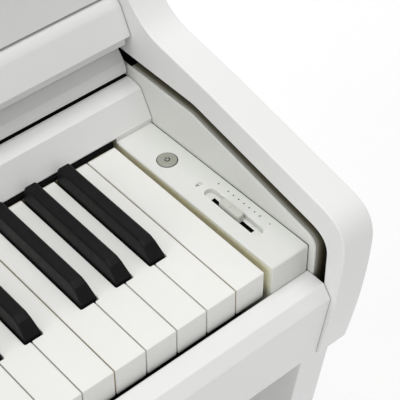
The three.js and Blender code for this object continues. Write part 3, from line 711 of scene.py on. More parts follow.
class PIANO_OT_sides(bpy.types.Operator):
    """Both arms, and the slot linings, with painted shade along their tops and in the slot."""

    bl_idname = "piano.sides"
    bl_label = "Case sides"

    def execute(self, context):
        arm = prism(arm_outline(), X, ARM_IN, ARM_OUT)
        pocket = mirrored(cutter(pocket_outline(), X, -ARM_IN - SLOT_DEPTH, -ARM_IN, 0.8))
        out, inset = quarter(1.1)
        full = SLOT_DEPTH - 2 * GAP
        groove = [LINING_GROOVE, LINING_GROOVE + 0.05, LINING_STEP - 0.05, LINING_STEP]
        depths = np.concatenate([out, groove, [LINING_STEP + 0.35, full - 0.4, full]])
        insets = np.concatenate([inset, [0, 0.35, 0.35, 0.1, 0, 0, 0.4]])
        lining = loft(lining_outline(), X, ARM_IN + depths, insets)

        # the pocket's walls deep in the arm take the slot's painted shade
        def in_pocket(at):
            depth = np.abs(at[:, X]) - ARM_IN
            return (depth > 3) & (depth < SLOT_DEPTH + GAP)

        # the lining's top beyond its step takes the slot's painted shade; its fine groove and its part beside
        # the cover's nose are painted black as shade
        def on_lining(at):
            depth = np.abs(at[:, X]) - ARM_IN
            seen = (depth > 0.9) & (at[:, Z] > -40)
            in_groove = (depth > LINING_GROOVE) & (depth < LINING_STEP - 0.01)
            shaded = (at[:, Y] > SHADE_FRONT) & (at[:, Z] > 30) | in_groove
            return np.where(seen, np.where(shaded, 2, np.where(depth > LINING_STEP - 0.01, 1, 0)), 0)

        for side, turn in SIDES:
            piece(f"case_side_{side}", [turn(arm)], ["lacquer", "track"], f"arm_{side}",
                  cut=[turn(pocket)], choose=in_pocket)
            piece(f"cover_slot_lining_{side}", [turn(lining)], ["moulding", "track", "black_felt"],
                  f"slot_lining_{side}", choose=on_lining)
        return {"FINISHED"}


class PIANO_OT_boards(bpy.types.Operator):
    """The boards that run between the arms, and the top board over them."""

    bl_idname = "piano.boards"
    bl_label = "Case boards"

    def execute(self, context):
        slip = outline(
            (SLIP_BACK, SLIP_TOP, 1), (-18, SLIP_TOP, 1.4), (-24.8, -30, 1.6), (-16.3, -92.2, 0.8),
            (-15.5, CASE_BOTTOM, 0.8), (SLIP_BACK, CASE_BOTTOM, 1))
        fall = outline(
            (152.2, 2.2, 0.8), (168, 2.2, 1), (173, 15.5, 2), (198, 15.5, 1), (198, 22.6, 1),
            (COVER_SHADE_FRONT, 24.8, 0), (176, 25.2, 2), (170.5, 24.7, 12), (*CREASE, 0.8))
        rail = outline(
            (172.4, 62.3, 0.6), (175.4, 62.3, 0.6), (175.7, 63.5, 0), (206, 63.5, 1), (206, 85.6, 1),
            (188.4, 87, 0.8), bend((188.4, 87), (184.6, 86), (181.6, 81.5), steps=6))
        panel = corners([(189, 88.6), (206, 88.6), (219, SIDE_TOP), (202, SIDE_TOP)], 1)
        seal = oblong(SEAL_FRONT, SEAL_REAR, 54.6, 63.2, 0.3)
        top = outline(
            (BACK, SIDE_TOP + GAP, 1.5), (BACK, BOARD_TOP, 2), (201, BOARD_TOP, 0),
            bend((201, BOARD_TOP), (194.5, BOARD_TOP), (194, SIDE_TOP + 9), steps=8),
            bend((194, SIDE_TOP + 9), (193.8, SIDE_TOP + GAP), (200, SIDE_TOP + GAP), steps=6))
        lip = block(BLOCK_NEAR + 0.3, BLOCK_FAR, 152.9, 157.5, block_top(152) + 0.15, 4, 0.15)

        def at_end(at):
            return np.abs(at[:, X]) > BETWEEN - 0.1

        # faces painted black as shade: the fallboard's top under the cover, the key slip's inner face, the
        # seal's rear and the boards' ends in the gaps to the arms
        painted_shade_faces = {
            "fallboard": lambda at: (at[:, Y] > COVER_SHADE_FRONT) & (at[:, Z] > 22) | at_end(at),
            "key_slip": lambda at: (at[:, Y] > SLIP_BACK - 0.2) | at_end(at),
            "front_rail": at_end, "upper_panel": at_end,
            "cover_seal": lambda at: at[:, Y] > SEAL_REAR - 0.5}
        for name, shape, half in (
                ("key_slip", slip, BETWEEN), ("fallboard", fall, BETWEEN), ("front_rail", rail, BETWEEN),
                ("upper_panel", panel, BETWEEN), ("cover_seal", seal, KEYS_HALF + 33),
                ("top_board", top, ARM_OUT)):
            edge = 0.2 if half < ARM_OUT else None
            finishes = ["lacquer", "black_felt"] if name in painted_shade_faces else "lacquer"
            piece(f"{name}_finished", [prism(shape, X, -half, half, edge)], finishes, name,
                  choose=painted_shade_faces.get(name), join=[lip, mirrored(lip)] if name == "fallboard" else ())
        felt = prism(oblong(150.3, 166, -1.2, 2.0, 0.5), X, -KEYS_HALF, KEYS_HALF, 0.3)
        piece("fallboard_felt", [felt], "black_felt")
        # a black strip on the key bed's front, painted shade that darkens the gap between the keys and the
        # slip
        half = KEYS_HALF + 3.5
        strip = block(-half, half, SLIP_BACK + 0.4, 4, BED_TOP + 0.1, BED_TOP + 2.4, 0.4)
        piece("key_bed_front_shade", [strip], "black_felt")
        dress("key_bed", "board")
        return {"FINISHED"}


class PIANO_OT_cover(bpy.types.Operator):
    """The sliding key cover: the front leaf with its nose, and the rear leaf with its runners."""

    bl_idname = "piano.cover"
    bl_label = "Key cover"

    def execute(self, context):
        nose = outline(
            (FOLD - 0.8, COVER_BOTTOM, 0.8), (FOLD - 0.8, COVER_TOP, 0.8), (193, COVER_TOP, 3),
            (189.5, 45.1, 2), (185.4, 45.1, 1.2), (179.3, 37.9, 1), (177.4, 32.6, 2), (177.4, 29, 0.9),
            (179.6, 27.4, 1), (184.5, 27.4, 1), (190, COVER_BOTTOM, 2))
        front = prism(nose, X, -COVER_HALF, COVER_HALF, 0.8)
        piece("key_cover_front", [front], "lacquer", "cover_front_leaf", "cover_front")
        leaf = prism(oblong(FOLD + 0.8, 380, COVER_BOTTOM, COVER_TOP, 1), X, -COVER_HALF, COVER_HALF, 0.8)
        middle = (COVER_BOTTOM + COVER_TOP) / 2
        pins = [rod(X, COVER_HALF - 8, ARM_IN + 7.5, y, middle, 3) for y in (310, 372)]
        pins += [mirrored(pin) for pin in pins]
        piece("key_cover_rear", [leaf], "lacquer", "cover_rear_leaf", "cover_rear",
              join=pins)
        return {"FINISHED"}


# ---- end blocks ------------------------------------------------------------------------------------
def block_top(y):
    """Height of a block's gently falling top."""
    return BLOCK_TOP_FRONT + (BLOCK_TOP_REAR - BLOCK_TOP_FRONT) * y / WHITE_LENGTH


def block_body():
    """The right end block before its holes are cut."""
    bottom = BED_TOP + GAP
    shape = outline(
        (BLOCK_FRONT, bottom, 1), (BLOCK_REAR, bottom, 1), (BLOCK_REAR, block_top(BLOCK_REAR), 1),
        (BLOCK_FRONT, BLOCK_TOP_FRONT, 1.6))
    return prism(shape, X, BLOCK_NEAR, BLOCK_FAR, sizes().plastic_edge / MM)


BLOCK_FINISHES = ["moulding", "black_felt", "painted_gap_tint"]


def on_block(at):
    """Chooses a block's faces: a painted pale olive tint for the warm shade towards the keys, and painted
    black shade in the joint to the arm.
    """
    across = np.abs(at[:, X])
    return np.where(across > BLOCK_FAR - 0.02, 1, np.where(across < BLOCK_NEAR + 0.02, 2, 0))


def joint_strip():
    """A black strip in the joint between the right block and the arm, painted shade that darkens the gap."""
    shape = corners([(BLOCK_FRONT + 0.6, BED_TOP + 1), (BLOCK_REAR - 0.6, BED_TOP + 1),
                     (BLOCK_REAR - 0.6, block_top(BLOCK_REAR) - 0.8),
                     (BLOCK_FRONT + 0.6, BLOCK_TOP_FRONT - 0.8)], 0.3)
    return prism(shape, X, BLOCK_FAR + 0.06, ARM_IN - 0.06, 0.05)


def push_button(x, y, radius):
    """A button's cap: straight sides, a chamfer and a very slightly dished top."""
    top = block_top(y) + 0.7
    return turned([(0, top - 7, 0), (radius, top - 7, 0.3), (radius, top - 0.5, 0.2),
                   (radius - 0.7, top, 0.3), (radius * 0.5, top - 0.1, 8), (0, top - 0.12, 0)], x, y)


def flat_mark(shape, z):
    """Ink on a surface: an outline 0.03 mm thick."""
    return prism(shape, Z, z - 0.05, z + 0.03, 0.01)


def arc_mark(x, y, radius, width, start, end, z):
    """An arc of ink: out along its outer radius and back along its inner one."""
    angle = np.radians(np.linspace(start, end, 25))
    ring = np.column_stack([np.cos(angle), np.sin(angle)])
    shape = np.vstack([ring * (radius + width / 2), ring[::-1] * (radius - width / 2)]) + (x, y)
    return flat_mark(shape, z)


def power_mark(x, y, z):
    """The usual power sign: an open circle with a bar in its opening."""
    bar = flat_mark(oblong(x - 0.4, x + 0.4, y + 0.3, y + 2.4, 0.1), z)
    return [arc_mark(x, y, 1.7, 0.85, 138, 402, z), bar]


def loudness_mark(x, y):
    """The usual loudness sign: a small loudspeaker with two arcs before it."""
    z = block_top(y)
    horn = corners([(x - 2.6, y - 0.7), (x - 1.6, y - 0.7), (x - 0.3, y - 1.7), (x - 0.3, y + 1.7),
                    (x - 1.6, y + 0.7), (x - 2.6, y + 0.7)], 0.1)
    arcs = [arc_mark(x - 0.3, y, radius, 0.34, -50, 50, z) for radius in (1.2, 2.4)]
    return [flat_mark(horn, z), *arcs]


def groove_floor():
    """Height of the floor of the volume slider's groove."""
    return block_top(GROOVE_REAR) - GROOVE_DEPTH


def volume_fader():
    """The slider's knob: a crowned bar with rounded ends and a fine groove across its middle, on a
    blade that goes down through the slot."""
    floor = groove_floor()
    plan = oblong(GROOVE_X - 2.9, GROOVE_X + 2.9, FADER_Y - FADER_HALF, FADER_Y + FADER_HALF, 2.3)
    knob = prism(plan, Z, floor + 0.4, FADER_TOP, 1.3, 0.3)
    blade = block(GROOVE_X - 0.9, GROOVE_X + 0.9, FADER_Y - 3, FADER_Y + 3, floor - 8, floor + 1, 0.2)
    groove = block(GROOVE_X - 4, GROOVE_X + 4, FADER_Y - 0.25, FADER_Y + 0.25, FADER_TOP - 0.3,
                   FADER_TOP + 2, 0.1)
    return knob, blade, groove


class PIANO_OT_right_block(bpy.types.Operator):
    """The treble end block with the power button, the volume slider and their marks."""

    bl_idname = "piano.right_block"
    bl_label = "Right end block"

    def execute(self, context):
        floor = groove_floor()
        middle = block_top((GROOVE_FRONT + GROOVE_REAR) / 2)
        groove = cutter(stadium(GROOVE_X, GROOVE_FRONT, GROOVE_REAR, GROOVE_RADIUS), Z, floor, middle, 0.5)
        slot = loft(oblong(GROOVE_X - LEVER_HALF, GROOVE_X + LEVER_HALF, LEVER_FRONT, LEVER_REAR, 0.3), Z,
                    [floor - 12, floor + 1], [0, 0])
        hole = cutter(circle(BUTTON_X, BUTTON_Y, BUTTON_RADIUS + GAP, 48), Z, -14, block_top(BUTTON_Y), 0.3)

        def in_shade(at):
            across = np.abs(at[:, X] - GROOVE_X) < LEVER_HALF + 0.05
            along = (at[:, Y] > LEVER_FRONT - 0.05) & (at[:, Y] < LEVER_REAR + 0.05)
            from_button = np.hypot(at[:, X] - BUTTON_X, at[:, Y] - BUTTON_Y)
            under_button = (from_button < BUTTON_RADIUS + GAP + 0.05) & (at[:, Z] < block_top(BUTTON_Y))
            return np.where(across & along & (at[:, Z] < floor - 0.05) | under_button, 1, on_block(at))

        piece("end_block_right_moulding", [block_body()], BLOCK_FINISHES,
              "end_block_right", cut=[groove, slot, hole], choose=in_shade)
        piece("joint_strip_right", [joint_strip()], "black_felt")
        piece("power_button_cap", [push_button(BUTTON_X, BUTTON_Y, BUTTON_RADIUS - 0.2)], "button",
              "power_button", "power_button")
        sign = power_mark(BUTTON_X, BUTTON_Y, block_top(BUTTON_Y) + 0.6)
        piece("power_sign", sign, "ink", body="power_button")
        knob, blade, line = volume_fader()
        piece("volume_slider_knob", [knob], "slider", "volume_slider",
              "volume_slider", join=[blade], cut=[line])
        scale = np.concatenate([[76.5], np.linspace(67.0, 36.5, 7), [27.1]])
        column = KEYS_HALF + 29.1
        dots = [flat_mark(circle(column, y, sizes().dot / MM / 2, 12), block_top(y)) for y in scale]
        ring = arc_mark(column, scale[-2], 0.75, 0.5, 0, 359, block_top(scale[-2]))
        piece("volume_dots", dots[:-2], "ink")
        piece("volume_dots_low", [dots[-1], ring], "faint_ink")
        piece("loudness_sign", loudness_mark(KEYS_HALF + 18.9, 84.6), "faint_ink")
        return {"FINISHED"}


class PIANO_OT_left_block(bpy.types.Operator):
    """The bass end block with its display and two push buttons."""

    bl_idname = "piano.left_block"
    bl_label = "Left end block"

    def execute(self, context):
        floor = block_top(DISPLAY_REAR) - 2.2
        window = cutter(oblong(DISPLAY_X - DISPLAY_HALF, DISPLAY_X + DISPLAY_HALF, DISPLAY_FRONT,
                               DISPLAY_REAR, 1.0), Z, floor, block_top(DISPLAY_FRONT), 0.3)
        holes = [cutter(circle(DISPLAY_X, y, PANEL_BUTTON_RADIUS + GAP, 40), Z, -14, block_top(y), 0.3)
                 for y in PANEL_BUTTONS]
        piece("end_block_left_moulding", [mirrored(block_body())], BLOCK_FINISHES,
              "end_block_left", cut=[window, *holes], choose=on_block)
        piece("joint_strip_left", [mirrored(joint_strip())], "black_felt")
        pane = block(DISPLAY_X - DISPLAY_HALF + GAP, DISPLAY_X + DISPLAY_HALF - GAP, DISPLAY_FRONT + GAP,
                     DISPLAY_REAR - GAP, floor + 0.1, floor + 1.9, 0.4)
        piece("display_pane", [pane], "pane", "display_window")
        for number, y in enumerate(PANEL_BUTTONS, 1):
            body = f"panel_button_{number}"
            piece(f"{body}_cap", [push_button(DISPLAY_X, y, PANEL_BUTTON_RADIUS)], "button",
                  body, body)
        return {"FINISHED"}


# ---- keyboard --------------------------------------------------------------------------------------
def key_at(index):
    """Note, octave and the X at which that octave starts, for a key counted from the lowest."""
    octave, note = divmod(index + FIRST_NOTE, 12)
    return NOTES[note], octave, -KEYS_HALF + (octave * 7 - 5) * WHITE_PITCH


def black_centre(index):
    """X of a black key's middle, or None for a white key or none."""
    if not 0 <= index < KEY_COUNT or key_at(index)[0] not in BLACK_STEP:
        return None
    note, _, start = key_at(index)
    line, offset = BLACK_STEP[note]
    return start + line * WHITE_PITCH + offset


def key_home(index):
    """The body that a key rides on, and the part of the frame that it stands for."""
    for body, last, node in KEY_GROUPS:
        if index <= last:
            return body, node
    note, octave, _ = key_at(index)
    return f"key_{note}{octave}", f"key_{note}{octave}"


def white_key(index):
    """Cap, stick and front lip of a white key: its plan, notched beside its black neighbours, carried
    upwards."""
    note, _, start = key_at(index)
    left = start + WHITE_STEP[note] * WHITE_PITCH + WHITE_GAP / 2 - KEY_SPREAD
    right = left + WHITE_PITCH - WHITE_GAP + 2 * KEY_SPREAD
    below, above = black_centre(index - 1), black_centre(index + 1)
    rear_left = left if below is None else below + NOTCH_WIDTH / 2
    rear_right = right if above is None else above - NOTCH_WIDTH / 2
    front = [(left, 0, 0.9), (right, 0, 0.9)]
    if rear_right < right:
        front += [(right, NOTCH_FRONT, 0.9), (rear_right, NOTCH_FRONT, 0.9)]
    notch = [(rear_left, NOTCH_FRONT, 0.9), (left, NOTCH_FRONT, 0.9)] if rear_left > left else []
    cap_rear = [(rear_right, WHITE_LENGTH, 0.6), (rear_left, WHITE_LENGTH, 0.6)]
    stick = [(rear_right, WHITE_LENGTH, 0.6), (rear_right - 0.8, WHITE_LENGTH, 0.2),
             (rear_right - 0.8, STICK_END, 0.6), (rear_left + 0.8, STICK_END, 0.6),
             (rear_left + 0.8, WHITE_LENGTH, 0.2), (rear_left, WHITE_LENGTH, 0.6)]
    edge = sizes().white_edge / MM
    cap = prism(rounded(front + cap_rear + notch), Z, -CAP, 0, edge, 0.05)
    body = prism(rounded(front + stick + notch), Z, -WHITE_DEPTH, -CAP - 0.02, 0.02, 0.4)
    lip = block(left + 0.3, right - 0.3, 0.25, 2.2, -WHITE_DEPTH - 1.3, -WHITE_DEPTH + 2, 0.3)
    return [cap, body, lip]


def resin_or_wood(index):
    """Chooses the faces of a white key: the cap, the front and the notches beside black keys are
    resin, and the rest is wood."""
    blacks = [x for x in (black_centre(index - 1), black_centre(index + 1)) if x is not None]

    def choose(at):
        wood = (at[:, Z] < -CAP - 0.01) & (at[:, Y] > 2.3)
        for x in blacks:
            wood &= np.abs(at[:, X] - x) > NOTCH_WIDTH / 2 + 0.3
        return wood

    return choose


def black_key(index):
    """Cap and stick of a black key. The cap is a row of upright sections: each has the height of the
    side profile at its Y, and narrows from the shoulder upwards in proportion to that height."""
    x = black_centre(index)
    profile = rounded([
        (NOTCH_FRONT + 1.3, BLACK_FOOT, 0), (NOTCH_FRONT + 1.3, BLACK_SHOULDER, 0.5),
        (NOTCH_FRONT + 8.5, BLACK_HEIGHT - 2.2, 2.5), (NOTCH_FRONT + 13, BLACK_HEIGHT, 2.5),
        (BLACK_END, BLACK_HEIGHT, 0.8), (BLACK_END, BLACK_FOOT, 0)])[1:-1]
    y, height = profile.T
    share = np.clip((height - BLACK_SHOULDER) / (BLACK_HEIGHT - BLACK_SHOULDER), 0, 1)
    half = BLACK_BASE - (BLACK_BASE - BLACK_TOP) * share
    shoulder = np.minimum(BLACK_SHOULDER, height - 0.4)
    edge = sizes().black_edge / MM
    base, foot = np.full_like(y, BLACK_BASE), np.full_like(y, BLACK_FOOT)
    rows = np.stack([
        np.column_stack([foot, x - base, 0 * y]), np.column_stack([shoulder, x - base, 0 * y]),
        np.column_stack([height, x - half, 0 * y + edge]),
        np.column_stack([height, x + half, 0 * y + edge]),
        np.column_stack([shoulder, x + base, 0 * y]), np.column_stack([foot, x + base, 0 * y])], 1)
    cap = loft(rounded(rows), Y, y, 0 * y)
    stick = corners([
        (NOTCH_FRONT + 8, -WHITE_DEPTH), (STICK_END, -WHITE_DEPTH), (STICK_END, -CAP),
        (BLACK_END + 0.1, -CAP), (BLACK_END + 0.1, BLACK_FOOT - 0.05),
        (NOTCH_FRONT + 8, BLACK_FOOT - 0.05)], 0.4)
    return [cap, prism(stick, X, x - 4.4, x + 4.4, 0.3)]


class PIANO_OT_keys(bpy.types.Operator):
    """All 88 keys, each its own piece, and the tray and felt under them."""

    bl_idname = "piano.keys"
    bl_label = "Keys"

    def execute(self, context):
        for index in range(KEY_COUNT):
            note, octave, _ = key_at(index)
            body, node = key_home(index)
            if note in BLACK_STEP:
                piece(f"black_key_{note}{octave}", black_key(index), ["black_resin", "spruce"],
                      node, body,
                      choose=lambda at: (at[:, Z] < BLACK_FOOT - 0.01) | (at[:, Y] > BLACK_END + 0.05))
            else:
                piece(f"white_key_{note}{octave}", white_key(index), ["white_resin", "spruce"],
                      node, body, choose=resin_or_wood(index))
        dress("key_frame", "dark")
        dress("key_stop_felt", "felt")
        return {"FINISHED"}


# ---- top and back ------------------------------------------------------------------------------------
class PIANO_OT_music_rest(bpy.types.Operator):
    """The folded music rest with its knuckles and buffers, and the ledge in front of it."""

    bl_idname = "piano.music_rest"
    bl_label = "Music rest"

    def execute(self, context):
        plan = outline(
            (-REST_HALF, 224, 3), (REST_HALF, 224, 3), (REST_HALF, 400, 12), (-REST_HALF, 400, 12))
        extra, bores = [], []
        for x in (-250.0, 250.0):
            for a, b in ((-20, -7.5), (7.5, 20)):
                extra.append(rod(X, x + a, x + b, REST_AXIS_Y, REST_AXIS_Z, 5))
                extra.append(block(x + a, x + b, REST_AXIS_Y, 228, REST_AXIS_Z - 2.5, REST_AXIS_Z + 4.5, 0.3))
            extra.append(rod(Z, BOARD_TOP + GAP, 159, x, 385, 8))
            bores.append(rod(X, x - 25, x + 25, REST_AXIS_Y, REST_AXIS_Z, 2.4, 0.1))
        panel = prism(plan, Z, 157.3, REST_TOP, 2.5)
        piece("music_rest_panel", [panel], "lacquer", "music_rest", "music_rest",
              join=extra, cut=bores)
        ledge = prism(oblong(201.5, 209, BOARD_TOP + GAP, 163, 2), X, -REST_HALF, REST_HALF, 1.5)
        piece("music_rest_ledge", [ledge], "lacquer", "music_ledge")
        dress("rest_hinge_left", "steel")
        dress("rest_hinge_right", "steel")
        return {"FINISHED"}


def screw(x, z, y, radius=4.0):
    """A pan-head screw that faces the back, with a cone-shaped driver recess."""
    head = turned([(0, -2, 0), (radius, -2, 0), (radius, -0.9, 1.2), (radius * 0.5, 0, 1.5),
                   (1.3, 0, 0.1), (0.3, -1.2, 0), (0, -1.2, 0)], 0, 0, 24)
    return shifted(tipped(head, Y), x, y, z)


class PIANO_OT_back(bpy.types.Operator):
    """Back board with its window, the jack panel and mains inlet in it, and the screws."""

    bl_idname = "piano.back"
    bl_label = "Back and jacks"

    def execute(self, context):
        window = prism(oblong(-58, -26, -328, -192, 3), Y, 400, 430, 0.5)
        board = prism(oblong(CASE_BOTTOM, SIDE_TOP, -BETWEEN, BETWEEN, 2), Y, 408, BACK)
        places = [(x, z) for z in (CASE_BOTTOM + 12, SIDE_TOP - 14) for x in np.linspace(-620, 620, 9)]
        sinks = [rod(Y, BACK - 2.6, BACK + 1, z, x, 5.2, 0.1, 20) for x, z in places]
        piece("back_board_lacquered", [board], "lacquer", "back_board",
              cut=[together([window, *sinks])])
        piece("back_screws", [screw(x, z, BACK - 0.6) for x, z in places], "steel")
        bosses = [rod(Y, 388, 405, JACK_Z, x, 9) for x in JACKS_X]
        bores = [rod(Y, 391, 420, JACK_Z, x, JACK_RADIUS, 0.1) for x in JACKS_X]
        inlet_hole = prism(oblong(-50 - GAP, -34 + GAP, -226 - GAP, -198 + GAP, 1), Y, 380, 420, 0.1)
        plate = prism(oblong(-64, -20, -336, -184, 2), Y, 404, 407.7, 0.6)
        piece("jack_panel_moulding", [plate], "dark", "jack_panel", join=bosses,
              cut=[*bores, inlet_hole])
        nuts = [prism(circle(JACK_Z, x, 5.6, 6), Y, 407.8, 410.3, 0.4) for x in JACKS_X]
        threads = [rod(Y, 400, 430, JACK_Z, x, JACK_RADIUS, 0.1) for x in JACKS_X]
        piece("jack_nuts", nuts, "steel", cut=threads)
        dress("power_inlet", "dark")
        dress("main_board", "mask")
        return {"FINISHED"}


class PIANO_OT_speakers(bpy.types.Operator):
    """Both loudspeakers: frame, rolled surround, paper cone and dust cap, turned as one profile."""

    bl_idname = "piano.speakers"
    bl_label = "Loudspeakers"

    def execute(self, context):
        bottom = BED_TOP + GAP
        rows = [(0, -59.5, 0), (7, -59, 8), (14, -56, 2), (16, -57, 1), (24, -60, 20), (49, -73, 1),
                (51, -73, 0.5), (53.5, bottom + 0.4, 2), (57, -74, 0.8), (58.5, bottom, 0.5),
                (70, bottom, 1), (70, -73, 0.8), (60, -73, 2), (36, -44, 2), (36, -16, 2), (0, -16, 0)]

        def stuff(at):
            radius = np.hypot(np.abs(at[:, X]) - SPEAKER_X, at[:, Y] - SPEAKER_Y)
            front = at[:, Z] < -55
            return np.where((radius < 50) & front, 1, np.where((radius < 57.5) & front, 2, 0))

        for side, x in (("left", -SPEAKER_X), ("right", SPEAKER_X)):
            piece(f"loudspeaker_{side}", [turned(rows, x, SPEAKER_Y, 64)], ["dark", "cone", "rubber"],
                  f"speaker_{side}", choose=stuff)
        return {"FINISHED"}


class PIANO_OT_headphone_box(bpy.types.Operator):
    """The small box under the key bed with two headphone jacks."""

    bl_idname = "piano.headphone_box"
    bl_label = "Headphone box"

    def execute(self, context):
        top = CASE_BOTTOM - GAP
        body = block(-560, -480, 12, 70, top - 26, top, 1.5)
        bores = [rod(Y, 0, 28, PHONES_Z, x, JACK_RADIUS, 0.1) for x in PHONES_X]
        piece("headphone_box_moulding", [body], "dark", "headphone_box", cut=bores)
        collars = [rod(Y, 9.5, 13, PHONES_Z, x, 5.5, 0.5, 32) for x in PHONES_X]
        piece("headphone_collars", collars, "steel", cut=bores)
        return {"FINISHED"}


# ---- stand ---------------------------------------------------------------------------------------------
def foot_outline():
    """A foot from the side: rounded toe, and a pad at each end."""
    return outline(
        (0, FLOOR, 1.5), (60, FLOOR, 1.5), (60, FLOOR + 5, 0.5), (348, FLOOR + 5, 0.5),
        (348, FLOOR, 1.5), (408, FLOOR, 1.5), (415, FLOOR + 8, 4), (415, FOOT_TOP, 3), (22, FOOT_TOP, 0),
        bend((22, FOOT_TOP), (-6, FOOT_TOP - 2), (-8, FLOOR + 18), steps=12),
        bend((-8, FLOOR + 18), (-8, FLOOR + 5), (0, FLOOR), steps=8)[:-1])


class PIANO_OT_stand(bpy.types.Operator):
    """Legs, feet with rubber pads, and the panel behind the knees with its screws."""

    bl_idname = "piano.stand"
    bl_label = "Stand"

    def execute(self, context):
        top, bottom = CASE_BOTTOM - GAP, FOOT_TOP + GAP
        toe = LEG_FRONT + LEG_LEAN * (top - bottom)
        leg = prism(corners([(LEG_FRONT, top), (toe, bottom), (STAND_REAR, bottom), (STAND_REAR, top)],
                            2), X, LEG_IN, LEG_OUT)
        foot = prism(foot_outline(), X, LEG_IN - 7, LEG_OUT + 7, 2)
        for side, turn in SIDES:
            piece(f"leg_{side}", [turn(leg)], "lacquer", f"leg_panel_{side}")
            piece(f"foot_{side}_with_pads", [turn(foot)], ["lacquer", "rubber"],
                  f"foot_{side}", choose=lambda at: at[:, Z] < FLOOR + 2)
        inner = LEG_IN - GAP
        knee_rear = STAND_REAR - 1
        knee = prism(oblong(knee_rear - 12, knee_rear, -600, top, 2), X, -inner, inner)
        piece("knee_panel_lacquered", [knee], "lacquer", "knee_panel")
        places = [(x, z) for x in (-inner + 20, inner - 20) for z in np.linspace(-580, -120, 4)]
        piece("knee_panel_screws", [screw(x, z, knee_rear + 1.6) for x, z in places], "steel")
        return {"FINISHED"}


class PIANO_OT_pedals(bpy.types.Operator):
    """Pedal board, its housing, three brass pedals and the screw foot under the board."""

    bl_idname = "piano.pedals"
    bl_label = "Pedals"

    def execute(self, context):
        inner = LEG_IN - GAP
        board = prism(oblong(168, 184, FOOT_TOP + GAP, -590, 2), X, -inner, inner)
        window = prism(oblong(-669, -634, -98, 98, 4), Y, 150, 200, 0.1)
        flare = loft(oblong(-669, -634, -98, 98, 4), Y, [167, 168, 168.6, 169.4], [-1.2, -1.2, -0.4, 0])
        socket = rod(Z, -720, -674, 0, ADJUSTER_Y, 5.4, 0.1)
        piece("pedal_board_lacquered", [board], "lacquer", "pedal_board",
              cut=[window, flare, socket])
        dress("pedal_box", "dark")
        plan = outline(
            (-11, 310, 4), (-11, 150, 20), bend((-11, 150), (-12, 122), (-22, 116), (-22, 92)),
            bend((-22, 92), (-22, 62), (22, 62), (22, 92), steps=20),
            bend((22, 92), (22, 116), (12, 122), (11, 150)), (11, 310, 4))
        axle = rod(X, -20, 20, PEDAL_Y, PEDAL_Z, 3.2, 0.1)
        for number, name in enumerate(("soft", "sostenuto", "damper")):
            x = (number - 1) * PEDAL_PITCH
            lever = shifted(prism(plan, Z, PEDAL_Z - 5, PEDAL_Z + 5, 3.6), x)
            piece(f"{name}_pedal_lever", [lever], "brass", f"pedal_{name}",
                  f"pedal_{name}", cut=[shifted(axle, x)])
        foot = [(0, FLOOR, 0), (17, FLOOR, 1), (17, FLOOR + 5, 2), (12, FLOOR + 8, 1.5),
                (12, FLOOR + 22, 1), (5, FLOOR + 22, 0.4), (5, -684, 0.5), (0, -684, 0)]
        piece("pedal_adjuster_foot", [turned(foot, 0, ADJUSTER_Y)], ["dark", "rubber"],
              "pedal_adjuster", "pedal_adjuster", choose=lambda at: at[:, Z] < FLOOR + 1.2)
        return {"FINISHED"}


# ---- stage ---------------------------------------------------------------------------------------------
CAMERA_PLACE = (0.2014, -0.6125, 1.3904)
CAMERA_YAW, CAMERA_PITCH = 40.74, 45.33  # degrees towards the treble, and down
CAMERA_LENS, CAMERA_SENSOR = 127.8, 36.0
FLOOR_HALF, FLOOR_HEIGHT = 9.0, -0.0004
WORLD_STRENGTH = 0.44
LIGHTS = (  # name, place, aim, width and depth, in metres, and watts
    ("overhead", (0.0, -0.4, 15.0), (0.0, 0.0, 0.0), 10.0, 8.0, 1080),
    ("side", (-6.0, -0.2, 3.2), (0.6, -0.1, 0.8), 3.0, 2.5, 88),
    ("backdrop", (2.4, 2.4, 2.6), (1.4, 0.9, 0.0), 1.6, 1.6, 14))


def soft_box(name, place, aim, width, depth, watts):
    """A rectangular area light turned towards its aim."""
    lamp = bpy.data.lights.new(name, "AREA")
    lamp.shape = "RECTANGLE"
    lamp.size, lamp.size_y, lamp.energy = width, depth, watts
    made = bpy.data.objects.new(name, lamp)
    made.location = place
    made.rotation_euler = (Vector(aim) - Vector(place)).to_track_quat("-Z", "Y").to_euler()
    bpy.context.scene.collection.objects.link(made)


def studio_floor():
    """A pale square floor just under the feet."""
    half, height = FLOOR_HALF, FLOOR_HEIGHT
    mesh = bpy.data.meshes.new("floor")
    mesh.from_pydata([(-half, -half, height), (half, -half, height), (half, half, height),
                      (-half, half, height)], [], [(0, 1, 2, 3)])
    paint = surface("pale_studio_floor", linear("#FFFFFF"), 0.7, (300, 0.004), (80, 0.03), (2, 0.01))[0]
    mesh.materials.append(paint)
    return bpy.data.objects.new("floor", mesh)


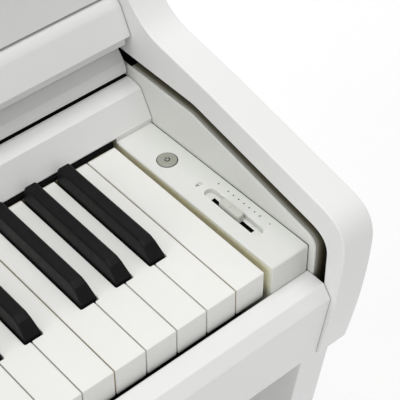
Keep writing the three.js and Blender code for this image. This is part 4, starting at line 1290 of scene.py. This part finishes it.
class PIANO_OT_stage(bpy.types.Operator):
    """Pale floor, soft light from above, from the bass side and on the floor behind, and the camera."""

    bl_idname = "piano.stage"
    bl_label = "Stage and camera"

    def execute(self, context):
        scene = context.scene
        scene.view_settings.view_transform = "Standard"
        lens = bpy.data.cameras.new("camera")
        lens.sensor_width, lens.lens = CAMERA_SENSOR, CAMERA_LENS
        lens.clip_start, lens.clip_end = 0.05, 50.0
        camera = bpy.data.objects.new("camera", lens)
        camera.location = CAMERA_PLACE
        camera.rotation_euler = (math.radians(90 - CAMERA_PITCH), 0, math.radians(-CAMERA_YAW))
        scene.collection.objects.link(camera)
        scene.camera = camera
        ground = studio_floor()
        scene.collection.objects.link(ground)
        for light in LIGHTS:
            soft_box(*light)
        world = bpy.data.worlds.new("studio")
        world.use_nodes = True
        sky = world.node_tree.nodes["Background"].inputs
        sky["Color"].default_value = (1, 1, 1, 1)
        sky["Strength"].default_value = WORLD_STRENGTH
        scene.world = world
        return {"FINISHED"}


# ---- panel and run -----------------------------------------------------------------------------------
OPERATORS = (
    PIANO_OT_stage, PIANO_OT_sides, PIANO_OT_boards, PIANO_OT_cover, PIANO_OT_right_block,
    PIANO_OT_left_block, PIANO_OT_keys, PIANO_OT_music_rest, PIANO_OT_back, PIANO_OT_speakers,
    PIANO_OT_headphone_box, PIANO_OT_stand, PIANO_OT_pedals)


class PIANO_PT_build(bpy.types.Panel):
    """Lists the groups of pieces, and the sizes and colours that they use."""

    bl_label = "Digital piano"
    bl_space_type = "VIEW_3D"
    bl_region_type = "UI"
    bl_category = "Piano"

    def draw(self, context):
        for group in (context.scene.piano_sizes, context.scene.piano_colours):
            for name in group.__annotations__:
                self.layout.prop(group, name)
        for made in OPERATORS:
            self.layout.operator(made.bl_idname)


CLASSES = (PianoSizes, PianoColours, *OPERATORS, PIANO_PT_build)


def register():
    """Adds the classes, and the groups of sizes and colours to the scene."""
    for cls in CLASSES:
        bpy.utils.register_class(cls)
    bpy.types.Scene.piano_sizes = PointerProperty(type=PianoSizes)
    bpy.types.Scene.piano_colours = PointerProperty(type=PianoColours)


def unregister():
    """Takes away what register added."""
    del bpy.types.Scene.piano_colours
    del bpy.types.Scene.piano_sizes
    for cls in reversed(CLASSES):
        bpy.utils.unregister_class(cls)


def main():
    """Builds the whole piano."""
    register()
    for made in OPERATORS:
        group, name = made.bl_idname.split(".")
        if getattr(getattr(bpy.ops, group), name)() != {"FINISHED"}:
            raise RuntimeError(f"{made.bl_idname} did not finish")


if __name__ == "__main__":
    main()
